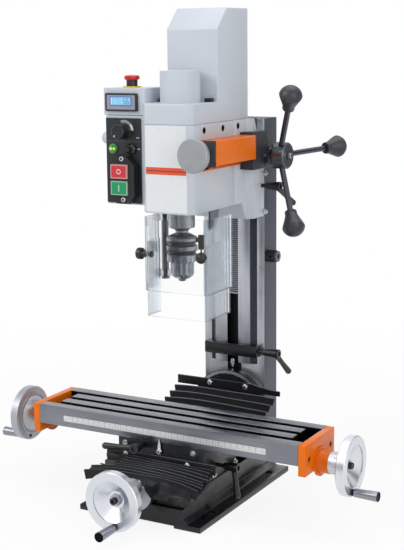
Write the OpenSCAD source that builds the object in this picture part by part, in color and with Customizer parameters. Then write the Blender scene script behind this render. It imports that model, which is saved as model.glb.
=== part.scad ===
// Bench mill drill with a tilting column, a cross table and a geared head feed.
// The origin is the centre of the four foot bolts, on the bench. +X is to the right, +Y to the back.

/* [Foot and base] */
// Width of the foot
foot_w = 208; // [196:1:240]
// Distance from the bolt centre to the front edge of the foot
foot_front = 159; // [152:1:180]
// Thickness of the foot flange
foot_t = 9; // [8:0.5:14]
// Spacing of the foot bolts across the machine
bolt_pitch_x = 179; // [172:1:186]
// Spacing of the foot bolts along the machine
bolt_pitch_y = 196; // [160:1:210]
// Diameter of the foot bolt holes
bolt_hole_d = 11; // [6:0.5:13]
// Width of the block that carries the cross ways
block_w = 150; // [140:1:160]
// Height of the block beside the cross ways
block_h = 46; // [42:0.5:50]
// Height of the low front edge of the block
front_edge_h = 30.6; // [26:0.2:36]
// Height of the cross dovetail
cross_way_h = 12; // [10:0.5:14]
// Width of the cross dovetail at its root
cross_way_w = 84; // [76:1:92]

/* [Table] */
// Length of the table
table_l = 450; // [400:1:560]
// Depth of the table from front to back
table_d = 105; // [100:1:120]
// Thickness of the table
table_t = 31; // [28:0.5:36]
// Height of the table top over the bench
table_top_z = 132.7; // [130:0.1:140]
// Distance from the bolt centre forward to the middle of the table
table_y = 42.4; // [38:0.2:46]
// Where the table stands to the right of the middle
table_x = 3; // [-20:1:20]
// Width of the mouth of each clamping slot
slot_w = 12; // [8:0.5:13]
// Width of the wide part of each clamping slot
slot_wide = 19; // [15:0.5:21]
// Depth of each clamping slot
slot_depth = 17; // [12:0.5:19]
// Spacing of the three clamping slots
slot_pitch = 29.3; // [27:0.1:32]
// Length of the trough at each end of the table
trough_l = 22; // [12:1:40]
// Thickness of the table's end plates
plate_t = 11.6; // [8:0.2:16]
// Height of the table's end plates
plate_h = 46; // [44:0.5:54]

/* [Saddle] */
// Width of the saddle
saddle_w = 150; // [130:1:156]
// Length of the saddle from front to back
saddle_d = 103.7; // [96:0.1:110]
// Height of the table dovetail on the saddle
table_way_h = 10; // [8:0.5:12]
// Width of the table dovetail at its root
table_way_w = 56; // [50:1:62]

/* [Screws and wheels] */
// Diameter of both lead screws
screw_d = 12; // [9:0.5:14]
// Height of the table screw over the bench
x_screw_z = 96.1; // [94:0.1:98]
// Height of the cross screw over the bench
y_screw_z = 53.4; // [52.5:0.1:55]
// Outer diameter of the handwheels
wheel_d = 88.4; // [70:0.2:110]
// Thickness of the rim of the handwheels
rim_t = 13; // [9:0.5:18]
// Distance from the rim's edge in to the axis of the crank grip
crank_inset = 7.2; // [6:0.2:9]
// Length of the crank grips
grip_l = 38; // [28:1:50]
// Diameter of the crank grips at the free end
grip_d = 14.5; // [10:0.5:18]
// Diameter of the graduated dials of the table screw
dial_d = 33; // [28:0.5:38]
// Diameter of the graduated dial of the cross screw
y_dial_d = 36; // [30:0.5:42]
// Length of the cross screw's dial
y_dial_l = 18; // [12:0.5:20]
// Radius of the bearing flange of the cross screw
flange_r = 32; // [24:0.5:36]
// Thickness of the bearing flange
flange_t = 14; // [8:0.5:18]

/* [Column] */
// Width of the column
column_w = 111; // [104:1:124]
// Depth of the column casting
column_d = 46; // [42:0.5:60]
// Distance from the bolt centre back to the face of the column
column_y = 150.2; // [146:0.2:156]
// Height of the top of the column over the bench
column_top_z = 575.7; // [560:0.1:640]
// Height of the bottom of the column over the bench
column_bottom_z = 35; // [26:0.5:40]
// Width of the column's dovetail across its face
way_w = 65; // [56:1:72]
// How far the dovetail stands out of the column face
way_out = 5.7; // [4:0.1:8]
// Depth of the undercut behind the dovetail face
way_depth = 9.5; // [7:0.1:11]
// Thickness of the walls of the column
column_wall = 9; // [6:0.5:14]
// Height of the tilt axis over the bench
tilt_z = 95; // [90:0.5:100]
// Radius of the tilt disc on the base
tilt_disc_r = 66.4; // [60:0.2:72]
// Thickness of the tilt disc
tilt_disc_t = 12; // [8:0.5:14]
// Diameter of the tilt pivot
pivot_d = 24; // [16:1:30]
// Module of the rack and of its pinion
rack_module = 1; // [0.8:0.1:1.2]
// Height of the lowest rack tooth
rack_bottom_z = 288; // [260:1:320]
// Height of the top of the rack
rack_top_z = 562; // [540:1:572]

/* [Head] */
// Width of the head
head_w = 87.6; // [82:0.2:96]
// Distance from the bolt centre forward to the spindle axis
spindle_y = 20.5; // [16:0.5:26]
// Distance from the spindle axis forward to the face of the head
head_front = 44.5; // [40:0.5:56]
// Size of the bevels on the front corners of the head
head_bevel = 7.9; // [4:0.1:12]
// Height of the bottom of the head over the bench
head_bottom_z = 445.8; // [440:0.2:460]
// Height of the head casting
head_h = 132; // [128:0.5:150]
// Height of the rim of the head cover
cover_rim_h = 30.4; // [24:0.2:40]
// Height of the motor tower over the rim of the cover
tower_h = 139.7; // [125:0.1:180]
// Bevel along the front of the motor tower
tower_bevel = 31; // [10:0.5:40]
// Wall of the head cover
cover_wall = 2.5; // [2:0.1:4]
// Height of the tube over the spindle
tube_h = 47.4; // [30:0.2:80]
// Radius of the tube over the spindle
tube_r = 30.2; // [27:0.1:36]
// Height of the bottom of the slide that holds the head
slide_bottom_z = 419; // [410:1:440]
// Height of the top of the slide beside the dovetail
slide_top_z = 556; // [545:1:570]
// Outer diameter of the motor
motor_d = 76; // [60:1:80]
// Length of the motor above its plate
motor_l = 105; // [80:1:112]

/* [Spindle and chuck] */
// Diameter of the spindle shaft
spindle_d = 30; // [20:1:36]
// Diameter of the spindle nose
nose_d = 40; // [36:0.5:46]
// Length of the spindle nose under the head
nose_l = 27; // [20:0.5:32]
// Outer diameter of the chuck
chuck_d = 47; // [40:0.5:52]
// Height of the top of the chuck over the bench
chuck_top_z = 412; // [408:0.5:416]
// Height of the joint between the chuck body and its sleeve
chuck_joint_z = 380; // [376:0.5:386]
// Height of the bottom of the chuck sleeve
chuck_bottom_z = 343; // [340:0.5:350]
// Diameter of the lower part of the chuck sleeve
sleeve_d = 36; // [32:0.5:40]
// Length that the jaws stand out of the chuck
jaw_out = 5; // [2:0.5:8]

/* [Head feed] */
// Height of the pinion shaft over the bench
pinion_z = 519.6; // [512:0.1:524]
// Number of teeth of the rack pinion
pinion_teeth = 24; // [22:2:26]
// Diameter of the pinion shaft
pinion_shaft_d = 15; // [10:0.5:16]
// Distance from the middle to the axis of the fine feed shaft
fine_x = 58; // [56:0.5:62]
// Module of the worm and of its wheel
worm_module = 0.9; // [0.8:0.1:1]
// Number of teeth of the worm wheel
worm_wheel_teeth = 26; // [22:1:28]
// Pitch radius of the worm
worm_r = 4.7; // [4.4:0.1:5.2]
// Diameter of the fine feed shaft
fine_shaft_d = 6; // [4:0.5:6.5]
// Diameter of the fine feed knob
fine_knob_d = 50; // [36:1:60]
// Thickness of the fine feed knob
fine_knob_t = 8.5; // [6:0.5:14]
// Distance from the middle to the outer face of the gear case
gear_case_x = 67; // [66:0.5:72]
// Diameter of the clutch hub
hub_d = 42; // [34:1:50]
// Length of the clutch hub
hub_l = 30; // [26:1:40]
// Travel of the clutch hub from free to engaged
clutch_travel = 4.3; // [3:0.1:4.5]
// Number of clutch dogs
dogs = 6; // [4:1:8]
// Distance of each feed knob from the hub axis
knob_r = 115.5; // [95:0.5:130]
// Lean of the feed spokes away from the column
spoke_lean = 22.7; // [15:0.1:25]
// Diameter of the feed spokes
spoke_d = 9; // [7:0.5:12]
// Largest diameter of the feed knobs
feed_knob_d = 36; // [28:1:42]
// Length of the feed knobs
feed_knob_l = 42; // [32:1:50]
// Turn of the first feed spoke above the horizontal, towards the back
spoke_turn = 123.4; // [0:0.1:360]

/* [Depth stop] */
// Width of the stop block
stop_w = 96; // [84:1:104]
// Height of the stop block
stop_h = 19.5; // [14:0.5:26]
// Height of the bottom of the stop block
stop_z = 185.5; // [183:0.5:230]

/* [Chuck guard] */
// Thickness of the clear sheet
sheet_t = 2.5; // [2:0.1:4]
// Distance from the spindle axis forward to the outer guard's face
guard_front = 37.5; // [36:0.5:44]
// Left side of the outer guard, from the middle
guard_left = 46; // [45:0.5:48]
// Right side of the outer guard, from the middle
guard_right = 63; // [58:0.5:70]
// Height of the outer guard
guard_h = 113; // [90:1:120]
// Height of the inner guard
inner_h = 115; // [90:1:120]
// How far the inner guard hangs below the outer one
inner_drop = 40; // [30:1:60]
// Outer radius of the bends at the front corners of the guard
guard_bend = 7; // [4:0.5:12]
// Diameter of the guard post
post_d = 11; // [8:0.5:12]

/* [Control box] */
// Width of the upper control box
box_w = 72; // [66:1:90]
// Depth of the control box
box_d = 60; // [50:1:80]
// Distance from the spindle axis forward to the face of the control box
box_front = 29.5; // [20:0.5:40]
// Height of the top of the control box
box_top_z = 630; // [620:1:660]
// Height of the joint between the upper and the lower control box
box_split_z = 589; // [584:1:596]
// Height of the bottom of the control box
box_bottom_z = 454.8; // [448:0.2:462]

/* [Hidden] */
$fn = 64;

// Clearances
fit = 0.05;
face_gap = 0.05;
way_gap = 0.05;
loose = 0.3;
eps = 0.01;

// Colours
cast_black = [0.13, 0.14, 0.15];
plastic_black = [0.07, 0.07, 0.08];
iron_grey = [0.45, 0.46, 0.48];
steel = [0.66, 0.67, 0.69];
bright = [0.82, 0.83, 0.85];
paint_white = [0.80, 0.82, 0.84];
orange = [0.94, 0.45, 0.08];
rubber = [0.10, 0.10, 0.11];

// Heights and places worked out from the sizes above
flare = tan(30);
cross_way_top = block_h + cross_way_h;
saddle_bottom_z = block_h + 1;
saddle_front = table_y + saddle_d / 2 - 1;
saddle_back = saddle_d - saddle_front;
table_bottom_z = table_top_z - table_t;
table_way_top = table_bottom_z + table_way_h;
disc_front_y = column_y - 10.2 - tilt_disc_t;
disc_back_y = disc_front_y + tilt_disc_t;
way_front_y = column_y - way_out;
way_root_y = way_front_y + way_depth;
way_bottom_z = tilt_z + tilt_disc_r + 10;
column_back_y = column_y + column_d;
rack_w = 20;
pinion_r = pinion_teeth * rack_module / 2;
pinion_y = way_front_y + 2 * rack_module - pinion_r;
spindle_pos = -spindle_y;
head_front_y = -spindle_y - head_front;
head_top_z = head_bottom_z + head_h;
head_seam_y = 68.8;
body_back_y = 103.6;
slide_y0 = 113.6;
cover_back_y = 116.7;
cover_top_z = head_top_z + cover_rim_h;
tower_y0 = 16.5;
motor_y = (tower_y0 + cover_back_y) / 2;
plate_z = table_top_z - plate_h;
screw_y = -table_y;
side_hole_y = [head_front_y + 38.2, head_seam_y - 36.7, head_seam_y + 13.2];
side_hole_z = head_top_z - 9.8;
head_lock_y = column_y - 8.7;
head_lock_z = slide_bottom_z + 50.5;
bracket_top_z = y_screw_z + screw_d / 2 + 2.6;

// Plain helpers
module box(x, y, z) {
    translate([x[0], y[0], z[0]]) cube([x[1] - x[0], y[1] - y[0], z[1] - z[0]]);
}
module rod_x(d, x0, x1, y, z) {
    translate([x0, y, z]) rotate([0, 90, 0]) cylinder(d = d, h = x1 - x0);
}
module rod_y(d, y0, y1, x, z) {
    translate([x, y1, z]) rotate([90, 0, 0]) cylinder(d = d, h = y1 - y0);
}
module rod_z(d, z0, z1, x, y) {
    translate([x, y, z0]) cylinder(d = d, h = z1 - z0);
}
// A turned piece whose outline is drawn with its axis on Y. The axis is then laid towards the front.
module turned_front(x, y, z) {
    translate([x, y, z]) rotate([90, 0, 0]) rotate_extrude() children();
}
// An outline in X and Z, pushed from y0 back to y1
module along_y(y0, y1) {
    translate([0, y1, 0]) rotate([90, 0, 0]) linear_extrude(y1 - y0) children();
}
// An outline in Y and Z, pushed from x0 to x1
module along_x(x0, x1) {
    translate([x0, 0, 0]) rotate([90, 0, 90]) linear_extrude(x1 - x0) children();
}
module round_rect(x0, x1, y0, y1, r) {
    translate([x0 + r, y0]) square([x1 - x0 - 2 * r, y1 - y0]);
    translate([x0, y0 + r]) square([x1 - x0, y1 - y0 - 2 * r]);
    for (x = [x0 + r, x1 - r], y = [y0 + r, y1 - r]) translate([x, y]) circle(r);
}
// Half of a dovetail, narrow at its root and wide at its top, drawn from the middle outwards
function dovetail(root_w, h, gap = 0) = [
    [-root_w / 2 - gap, -eps], [root_w / 2 + gap, -eps],
    [root_w / 2 + gap + h * flare, h + gap], [-root_w / 2 - gap - h * flare, h + gap]
];

// Gear outlines
function involute(rb, t) = [rb * (cos(t) + t * PI / 180 * sin(t)), rb * (sin(t) - t * PI / 180 * cos(t))];
function turn_point(p, a) = [p[0] * cos(a) - p[1] * sin(a), p[0] * sin(a) + p[1] * cos(a)];
// One flank from the base circle to the tip, with the middle of the tooth on the X axis
function flank(m, n, thin, steps) =
    let (r = m * n / 2, rb = r * cos(20), ra = r + 0.95 * m,
         at_tip = sqrt(pow(ra / rb, 2) - 1) * 180 / PI,
         at_pitch = tan(20) * 180 / PI,
         half = 90 / n - thin / (2 * r) * 180 / PI,
         back = half + at_pitch - 20)
    [for (i = [0 : steps]) turn_point(involute(rb, at_tip * i / steps), -back)];
function mirrored(ps) = [for (i = [len(ps) - 1 : -1 : 0]) [ps[i][0], -ps[i][1]]];
module gear_outline(m, n, thin, turn) {
    one = flank(m, n, thin, 5);
    root = m * n / 2 - 1.2 * m;
    rotate(turn) union() {
        circle(root + eps, $fn = 96);
        for (k = [0 : n - 1]) rotate(k * 360 / n)
            polygon(concat([[root * 0.9, one[0][1]]], one, mirrored(one), [[root * 0.9, -one[0][1]]]));
    }
}

// Foot, block with the cross dovetail, and the disc that the column tilts on
module base() {
    half = block_w / 2;
    wall = 12;
    color(cast_black) difference() {
        union() {
            box([-foot_w / 2, foot_w / 2], [-foot_front, disc_back_y], [0, foot_t]);
            along_y(-foot_front, disc_back_y) polygon([
                [-half - 8, 0], [half + 8, 0], [half + 8, foot_t], [half, foot_t + 8], [half, front_edge_h],
                [-half, front_edge_h], [-half, foot_t + 8], [-half - 8, foot_t]
            ]);
            box([-half, half], [-foot_front + 9, disc_back_y], [front_edge_h - 1, block_h]);
            along_y(-foot_front + 14, disc_front_y - 20)
                translate([0, block_h]) polygon(dovetail(cross_way_w, cross_way_h));
            screw_bracket();
            rod_y(2 * tilt_disc_r, disc_front_y, disc_back_y, 0, tilt_z);
            box([-half + 9, half - 9], [disc_front_y, disc_back_y], [foot_t, tilt_z]);
            for (s = [-1, 1]) gusset(s * (half - 17));
        }
        box([-half + wall, half - wall], [-foot_front + wall, disc_front_y - 8], [-1, front_edge_h - 7]);
        box([-60, 60], [-foot_front - 1, -foot_front + wall + 1], [-1, 4]);
        box([-13, 13], [-foot_front + 13, disc_front_y - 10], [y_screw_z - 14, cross_way_top + 1]);
        rod_y(screw_d + 2 * fit, -foot_front - flange_t - 1, -foot_front + 20, 0, y_screw_z);
        rod_y(pivot_d, disc_front_y - 1, disc_back_y + 1, 0, tilt_z);
        for (x = [-1, 1], y = [-1, 1])
            rod_z(bolt_hole_d, -1, foot_t + 1, x * bolt_pitch_x / 2, y * bolt_pitch_y / 2);
    }
}
// Upright box at the front of the foot and the bearing flange of the cross screw on it
module screw_bracket() {
    r = flange_r;
    box([-20, 20], [-foot_front, -foot_front + 13], [front_edge_h - 1, bracket_top_z]);
    along_y(-foot_front - flange_t, -foot_front + eps) intersection() {
        translate([0, y_screw_z]) {
            circle(r);
            translate([-r, 0]) square([2 * r, r]);
        }
        translate([-r - 1, y_screw_z - r - 1]) square([2 * r + 2, bracket_top_z - y_screw_z + r + 1]);
    }
}
// Triangular web between the block and the tilt disc
module gusset(x) {
    along_x(x - 4, x + 4) polygon([
        [disc_front_y - 30, block_h - 1], [disc_front_y + 1, block_h - 1], [disc_front_y + 1, tilt_z - 5]
    ]);
}
// Stud, washer and nut that hold the column on the base
module tilt_pivot() {
    wall_y = column_y + 14.8;
    color(steel) {
        rod_y(pivot_d + 12, disc_front_y - 4, disc_front_y, 0, tilt_z);
        rod_y(pivot_d, disc_front_y - eps, wall_y + 20, 0, tilt_z);
        difference() {
            rod_y(pivot_d + 24, wall_y + face_gap, wall_y + 4, 0, tilt_z);
            rod_y(pivot_d, wall_y - 1, wall_y + 5, 0, tilt_z);
        }
        difference() {
            translate([0, wall_y + 17, tilt_z]) rotate([90, 0, 0])
                cylinder(d = pivot_d * 1.85, h = 13, $fn = 6);
            rod_y(pivot_d, wall_y + 3, wall_y + 18, 0, tilt_z);
        }
    }
}

// Saddle: cross dovetail below, table dovetail above, and a channel for the table screw
module saddle() {
    color(cast_black) difference() {
        union() {
            box([-saddle_w / 2, saddle_w / 2], [-saddle_front, saddle_back],
                [saddle_bottom_z, table_bottom_z - way_gap]);
            along_x(-saddle_w / 2, saddle_w / 2) translate([-table_y, table_bottom_z - 1])
                polygon(dovetail(table_way_w - 2 * way_gap - 2 * flare, table_way_h + 1 - way_gap));
        }
        along_y(-saddle_front - 1, saddle_back + 1)
            translate([0, block_h]) polygon(dovetail(cross_way_w, cross_way_h, way_gap));
        box([-13, 13], [-saddle_front - 1, saddle_back + 1], [saddle_bottom_z - 1, y_screw_z + 10]);
        box([-saddle_w / 2 - 1, saddle_w / 2 + 1], [screw_y - 10, screw_y + 10],
            [x_screw_z - 9, table_way_top + 1]);
        rod_z(8, y_screw_z + 9, x_screw_z - 8, 0, screw_y);
    }
}
// Nuts and set screws of the gib strips, at the front and on the right side of the saddle
gib_z = table_bottom_z - 7.2;
module gib_screws() {
    front_x = [14 - saddle_w / 2, saddle_w / 2 - 17];
    side_y = [23.25 - saddle_front, saddle_back - 11.95];
    color(bright) {
        for (x = front_x) translate([x, -saddle_front, gib_z]) gib_screw();
        for (y = side_y) translate([saddle_w / 2, y, saddle_bottom_z + 9.5]) rotate([0, 0, 90]) gib_screw();
    }
}
module gib_screw() {
    rotate([90, 0, 0]) difference() {
        union() {
            cylinder(d = 9.5, h = 4, $fn = 6);
            cylinder(d = 5, h = 7);
        }
        translate([0, 0, 4.5]) cylinder(d = 3, h = 3, $fn = 6);
    }
}
// Bronze nuts: one lies in the saddle on the table screw, the other hangs from the saddle on the cross screw
module lead_nuts() {
    color([0.72, 0.52, 0.25]) {
        difference() {
            box([-15, 15], [screw_y - 9.5, screw_y + 9.5], [x_screw_z - 9, x_screw_z + 10]);
            rod_x(screw_d + 2 * fit, -16, 16, screw_y, x_screw_z);
        }
        difference() {
            box([-12, 12], [-62, -38], [y_screw_z - 9, y_screw_z + 10]);
            rod_y(screw_d + 2 * fit, -63, -37, 0, y_screw_z);
        }
    }
}

// Pleated rubber covers over the cross ways, each a zigzag sheet with a clamped strip
function zigzag(y0, z0, y1, z1, n, deep) = [
    for (i = [0 : 2 * n])
        let (t = i / (2 * n), up = i % 2)
        [y0 + (y1 - y0) * t, z0 + (z1 - z0) * t + (up == 0 ? -deep / 2 : deep / 2)]
];
function below(ps, t) = [for (i = [len(ps) - 1 : -1 : 0]) [ps[i][0], ps[i][1] - t]];
module pleats(half_w, y0, z0, y1, z1, n, deep, t) {
    top = zigzag(y0, z0, y1, z1, n, deep);
    along_x(-half_w, half_w) polygon(concat(top, below(top, t)));
}
cover_half_w = saddle_w / 2 + 20;
module bellows_front() {
    y_strip = -saddle_front - loose;
    y_flap = -foot_front + 8;
    z_flap = bracket_top_z + loose;
    w = cover_half_w;
    z0 = saddle_bottom_z + 19;
    z_low = front_edge_h + 6.4;
    color(rubber) {
        box([-w, w], [y_strip - 3, y_strip], [z0, z0 + 15]);
        pleats(w - 7, y_strip - 2.9, z0 + 7, y_flap, z_flap + 5, 7, 6, 1.6);
        along_y(-foot_front + 1, y_flap + 0.7) polygon([
            [-21, z_flap], [21, z_flap], [w - 7, z_low], [w - 7, z_low + 1.6], [21, z_flap + 1.6], [-21, z_flap + 1.6],
            [7 - w, z_low + 1.6], [7 - w, z_low]
        ]);
    }
}
module bellows_rear() {
    w = cover_half_w;
    color(rubber) {
        box([-w, w], [disc_front_y - 3.3, disc_front_y - loose], [tilt_z + 34, tilt_z + 48.5]);
        pleats(w - 3, saddle_back + loose, table_bottom_z - 17.7, disc_front_y - 3, tilt_z + 39, 8, 6, 1.6);
    }
}

// Table with three clamping slots, end troughs and the female dovetail
module table() {
    x0 = table_x - table_l / 2;
    x1 = table_x + table_l / 2;
    y0 = -table_y - table_d / 2;
    y1 = -table_y + table_d / 2;
    strip = (table_d - 2 * slot_pitch - slot_w) / 2;
    color(iron_grey) difference() {
        box([x0, x1], [y0, y1], [table_bottom_z, table_top_z]);
        for (k = [-1 : 1]) {
            box([x0 - 1, x1 + 1], [-table_y + k * slot_pitch - slot_w / 2, -table_y + k * slot_pitch + slot_w / 2],
                [table_top_z - slot_depth + 2, table_top_z + 1]);
            box([x0 - 1, x1 + 1],
                [-table_y + k * slot_pitch - slot_wide / 2, -table_y + k * slot_pitch + slot_wide / 2],
                [table_top_z - slot_depth, table_top_z - slot_depth + 8]);
        }
        for (x = [[x0 - 1, x0 + trough_l], [x1 - trough_l, x1 + 1]])
            box(x, [y0 + strip, y1 - strip], [table_top_z - slot_depth + 2, table_top_z + 1]);
        along_x(x0 - 1, x1 + 1) translate([-table_y, table_bottom_z - 1])
            polygon(dovetail(table_way_w - 2 * flare, table_way_h + 1));
    }
}
// End plates with the round bearing boss of the table screw
module end_plates() {
    for (s = [-1, 1]) end_plate(s);
}
module end_plate(s) {
    inner = table_x + s * table_l / 2;
    outer = inner + s * plate_t;
    tip = outer + s * 18;
    y0 = -table_y - table_d / 2;
    y1 = -table_y + table_d / 2;
    color(orange) difference() {
        union() {
            box([min(inner, outer), max(inner, outer)], [y0, y1], [plate_z, table_top_z]);
            translate([outer, screw_y, x_screw_z]) rotate([0, s * 90, 0]) translate([0, 0, -1]) {
                cylinder(d = 44, h = 4);
                cylinder(d1 = 38, d2 = 34, h = 11);
                cylinder(d = 34, h = 19);
            }
        }
        rod_x(screw_d + 2 * fit, min(inner, tip) - 1, max(inner, tip) + 1, screw_y, x_screw_z);
        for (y = [y0 + 14, y1 - 14])
            rod_x(9, min(outer, outer - s * 6), max(outer, outer - s * 6) + eps, y, table_top_z - 23);
    }
}

// Lead screw of the table, with the shoulders that carry both handwheels
function wheel_face(s) = table_x + s * (table_l / 2 + plate_t + 54.4);
module x_lead_screw() {
    color(steel) rod_x(screw_d, wheel_face(-1) + 14 + loose, wheel_face(1) - 14 - loose, screw_y, x_screw_z);
}
// Graduated dial at the right end, a plain collar at the left end
module x_dial() {
    x0 = table_x + table_l / 2 + plate_t + 18 + face_gap;
    color(bright) {
        collar_x(x0, x0 + 17, dial_d);
    }
}
module collar_x(x0, x1, d) {
    difference() {
        rod_x(d, x0, x1, screw_y, x_screw_z);
        rod_x(screw_d, x0 - 1, x1 + 1, screw_y, x_screw_z);
    }
}
// Outline of a dished handwheel: the radius against the depth behind the outer face
module wheel_outline(hub_l) {
    r = wheel_d / 2;
    bore = screw_d / 2;
    polygon([
        [bore, -14], [13, -14], [r - 13.5, -2], [r - 13.5, 0], [r - 1, 0], [r, -1], [r, 1 - rim_t], [r - 1, -rim_t],
        [r - 9, -rim_t], [17, -18], [15, -19], [15, -14 - hub_l], [bore, -14 - hub_l]
    ]);
}
// The nut on the wheel and the drilled end of the screw that stands out of it
module wheel_nut() {
    translate([0, 0, -14 - eps]) cylinder(d = 17, h = 6, $fn = 6);
    rotate_extrude() polygon([[0, -14], [5, -14], [5, -4], [4.3, -3.2], [2, -3.2], [2, -7], [0, -7]]);
}
crank_r = wheel_d / 2 - crank_inset;
crank_pin_d = 5;
grip_turn = 13;
y_grip_turn = 6;
// A dished wheel with its nut and the pin that its grip turns on. The outer face lies at z = 0.
module handwheel(hub_l, a) {
    rotate_extrude() wheel_outline(hub_l);
    wheel_nut();
    rotate(a) translate([crank_r, 0, -rim_t + 1]) cylinder(d = crank_pin_d, h = rim_t + grip_l - 4);
}
module x_wheels() {
    inner = table_l / 2 + plate_t + 18;
    face = table_l / 2 + plate_t + 54.4;
    color(bright) {
        x_wheel(1, face - 14 - inner - 17 - 2 * face_gap);
        x_wheel(-1, face - 14 - inner - face_gap);
    }
}
module x_wheel(s, hub) {
    translate([wheel_face(s), screw_y, x_screw_z]) rotate([0, s * 90, 0]) handwheel(hub, x_grip_angle(s));
}
// Turn of the crank about the screw, measured as each wheel is laid down
function x_grip_angle(s) = s > 0 ? -grip_turn : 180 + grip_turn;
// Revolving grip on its pin, standing out of the wheel's face
module grip(a) {
    d = grip_d;
    bore = crank_pin_d / 2 + fit;
    rotate(a) translate([crank_r, 0, 0]) rotate_extrude() polygon([
        [bore, loose], [d / 2 - 2.2, loose], [d / 2 - 2.2, 3], [d / 2 - 1, 3.6], [d / 2, grip_l - 4],
        [d / 2, grip_l + 1], [d / 2 - 0.5, grip_l + 1.5], [d / 2 - 1.5, grip_l + 1.5], [d / 2 - 1.5, grip_l + 0.7],
        [0, grip_l + 0.7], [0, grip_l - 2], [bore, grip_l - 2]
    ]);
}
module x_grip(s) {
    translate([wheel_face(s), screw_y, x_screw_z]) rotate([0, s * 90, 0]) grip(x_grip_angle(s));
}
module grip_right() {
    color(bright) x_grip(1);
}
module grip_left() {
    color(bright) x_grip(-1);
}

// Cross screw, dial, wheel and grip
y_dial_front = -foot_front - flange_t - face_gap - y_dial_l;
y_hub_l = 26.4;
y_face = y_dial_front - face_gap - y_hub_l - 14;
module y_lead_screw() {
    color(steel) rod_y(screw_d, y_face + 14 + loose, 40, 0, y_screw_z);
}
module y_dial() {
    color(bright) difference() {
        rod_y(y_dial_d, y_dial_front, y_dial_front + y_dial_l, 0, y_screw_z);
        rod_y(screw_d, y_dial_front - 1, y_dial_front + y_dial_l + 1, 0, y_screw_z);
    }
}
module y_wheel() {
    color(bright) translate([0, y_face, y_screw_z]) rotate([90, 0, 0]) handwheel(y_hub_l, -90 + y_grip_turn);
}
module grip_front() {
    color(bright) translate([0, y_face, y_screw_z]) rotate([90, 0, 0]) grip(-90 + y_grip_turn);
}

// Clamping lever: a threaded stem, a tapered hub and an arm. The stem points along +Z from the origin.
module lever(stem_l, hub_l, arm_l) {
    rotate_extrude() polygon([
        [0, 0], [3, 0], [3, stem_l], [5, stem_l], [5.5, stem_l + 4], [7.5, stem_l + hub_l - 3],
        [7.5, stem_l + hub_l], [4, stem_l + hub_l], [4, stem_l + hub_l - 2], [0, stem_l + hub_l - 2]
    ]);
    translate([0, 0, stem_l + hub_l - 7]) rotate([0, 84, 0]) rotate_extrude() polygon([
        [0, 3], [4.6, 3], [4, arm_l * 0.5], [5.2, arm_l - 3], [3.4, arm_l], [0, arm_l]
    ]);
}
module x_lock_lever() {
    color(plastic_black) translate([-31, -saddle_front - face_gap, gib_z]) rotate([90, 0, 0])
        rotate(183) lever(5, 22, 56);
}
module y_lock_lever() {
    color(plastic_black) translate([saddle_w / 2 + face_gap, -52, 66.5]) rotate([0, 90, 0])
        rotate(0) lever(12, 24, 48);
}
module head_lock_lever() {
    color(plastic_black) translate([column_w / 2 + face_gap, head_lock_y, head_lock_z]) rotate([0, 90, 0])
        rotate(57) lever(8, 25, 62);
}

// Column: box casting open at the back, with the dovetail, the undercuts and the rack groove
// Section of the dovetail, widest at its face
module way_shape(gap, deep) {
    w = way_w / 2 + gap;
    n = way_w / 2 + gap - deep * flare;
    polygon([[-w, 0], [w, 0], [n, deep], [-n, deep]]);
}
module column() {
    half = column_w / 2;
    undercut = 42;
    ribs = [tilt_z + 42, 281, 424, column_top_z - 13];
    color(iron_grey) difference() {
        union() {
            box([-half, half], [column_y, column_back_y], [column_bottom_z, column_top_z]);
            translate([0, 0, way_bottom_z]) linear_extrude(column_top_z - way_bottom_z)
                translate([0, way_front_y]) way_shape(0, way_out + 1);
            rod_y(2 * tilt_disc_r - 12, disc_back_y + face_gap, column_y + 1, 0, tilt_z);
        }
        translate([0, 0, way_bottom_z]) linear_extrude(column_top_z) difference() {
            translate([-undercut, column_y - 1]) square([2 * undercut, way_root_y - column_y + 1]);
            translate([0, way_front_y]) way_shape(0, way_depth + 1);
        }
        box([-rack_w / 2, rack_w / 2], [way_front_y - 1, way_front_y + 13], [way_bottom_z - 1, column_top_z + 1]);
        rod_y(pivot_d + 2 * fit, disc_back_y - 1, column_back_y + 1, 0, tilt_z);
        box([-half + column_wall, half - column_wall], [column_y + 14.8, column_back_y + 1],
            [column_bottom_z + 8, ribs[0] - 8]);
        for (i = [0 : 2])
            box([-half + column_wall, half - column_wall], [column_y + 14.8, column_back_y + 1],
                [ribs[i], ribs[i + 1] - 8]);
        rod_x(10, -half - 1, half + 1, 162, 352.5);
    }
}
// Rack in the groove of the dovetail
module rack() {
    pitch = PI * rack_module;
    tip_y = way_front_y + rack_module;
    back_y = way_front_y + 13;
    n = floor((rack_top_z - rack_bottom_z) / pitch);
    first = pinion_z - floor((pinion_z - rack_bottom_z) / pitch) * pitch;
    half_tip = pitch / 4 - rack_module * tan(20) - 0.06;
    half_root = pitch / 4 + 1.25 * rack_module * tan(20) - 0.06;
    root_y = tip_y + 2.25 * rack_module;
    color(steel) along_x(-rack_w / 2, rack_w / 2) polygon(concat(
        [[back_y, first - pitch], [root_y, first - pitch]],
        [for (k = [0 : n - 1], p = [
            [root_y, -half_root], [tip_y, -half_tip], [tip_y, half_tip], [root_y, half_root]
        ]) [p[0], first + k * pitch + p[1]]],
        [[root_y, rack_top_z], [back_y, rack_top_z]]
    ));
}
// End of the counterbalance spring's shaft on the side of the column
module spring_boss() {
    x = column_w / 2;
    color(plastic_black) translate([0, 162, 352.5]) rotate([0, 90, 0]) difference() {
        union() {
            translate([0, 0, x - column_wall + eps]) cylinder(d = 10, h = column_wall + 1);
            translate([0, 0, x]) rotate_extrude() polygon([
                [0, 0], [10, 0], [10, 16], [9, 17], [9, 19.5], [4, 19.5], [4, 17.5], [0, 17.5]
            ]);
        }
        translate([0, 0, x + 9]) rotate([0, -90, 0]) rotate([90, 0, 0]) translate([0, 0, 4])
            cylinder(d = 4, h = 10);
    }
}

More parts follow.
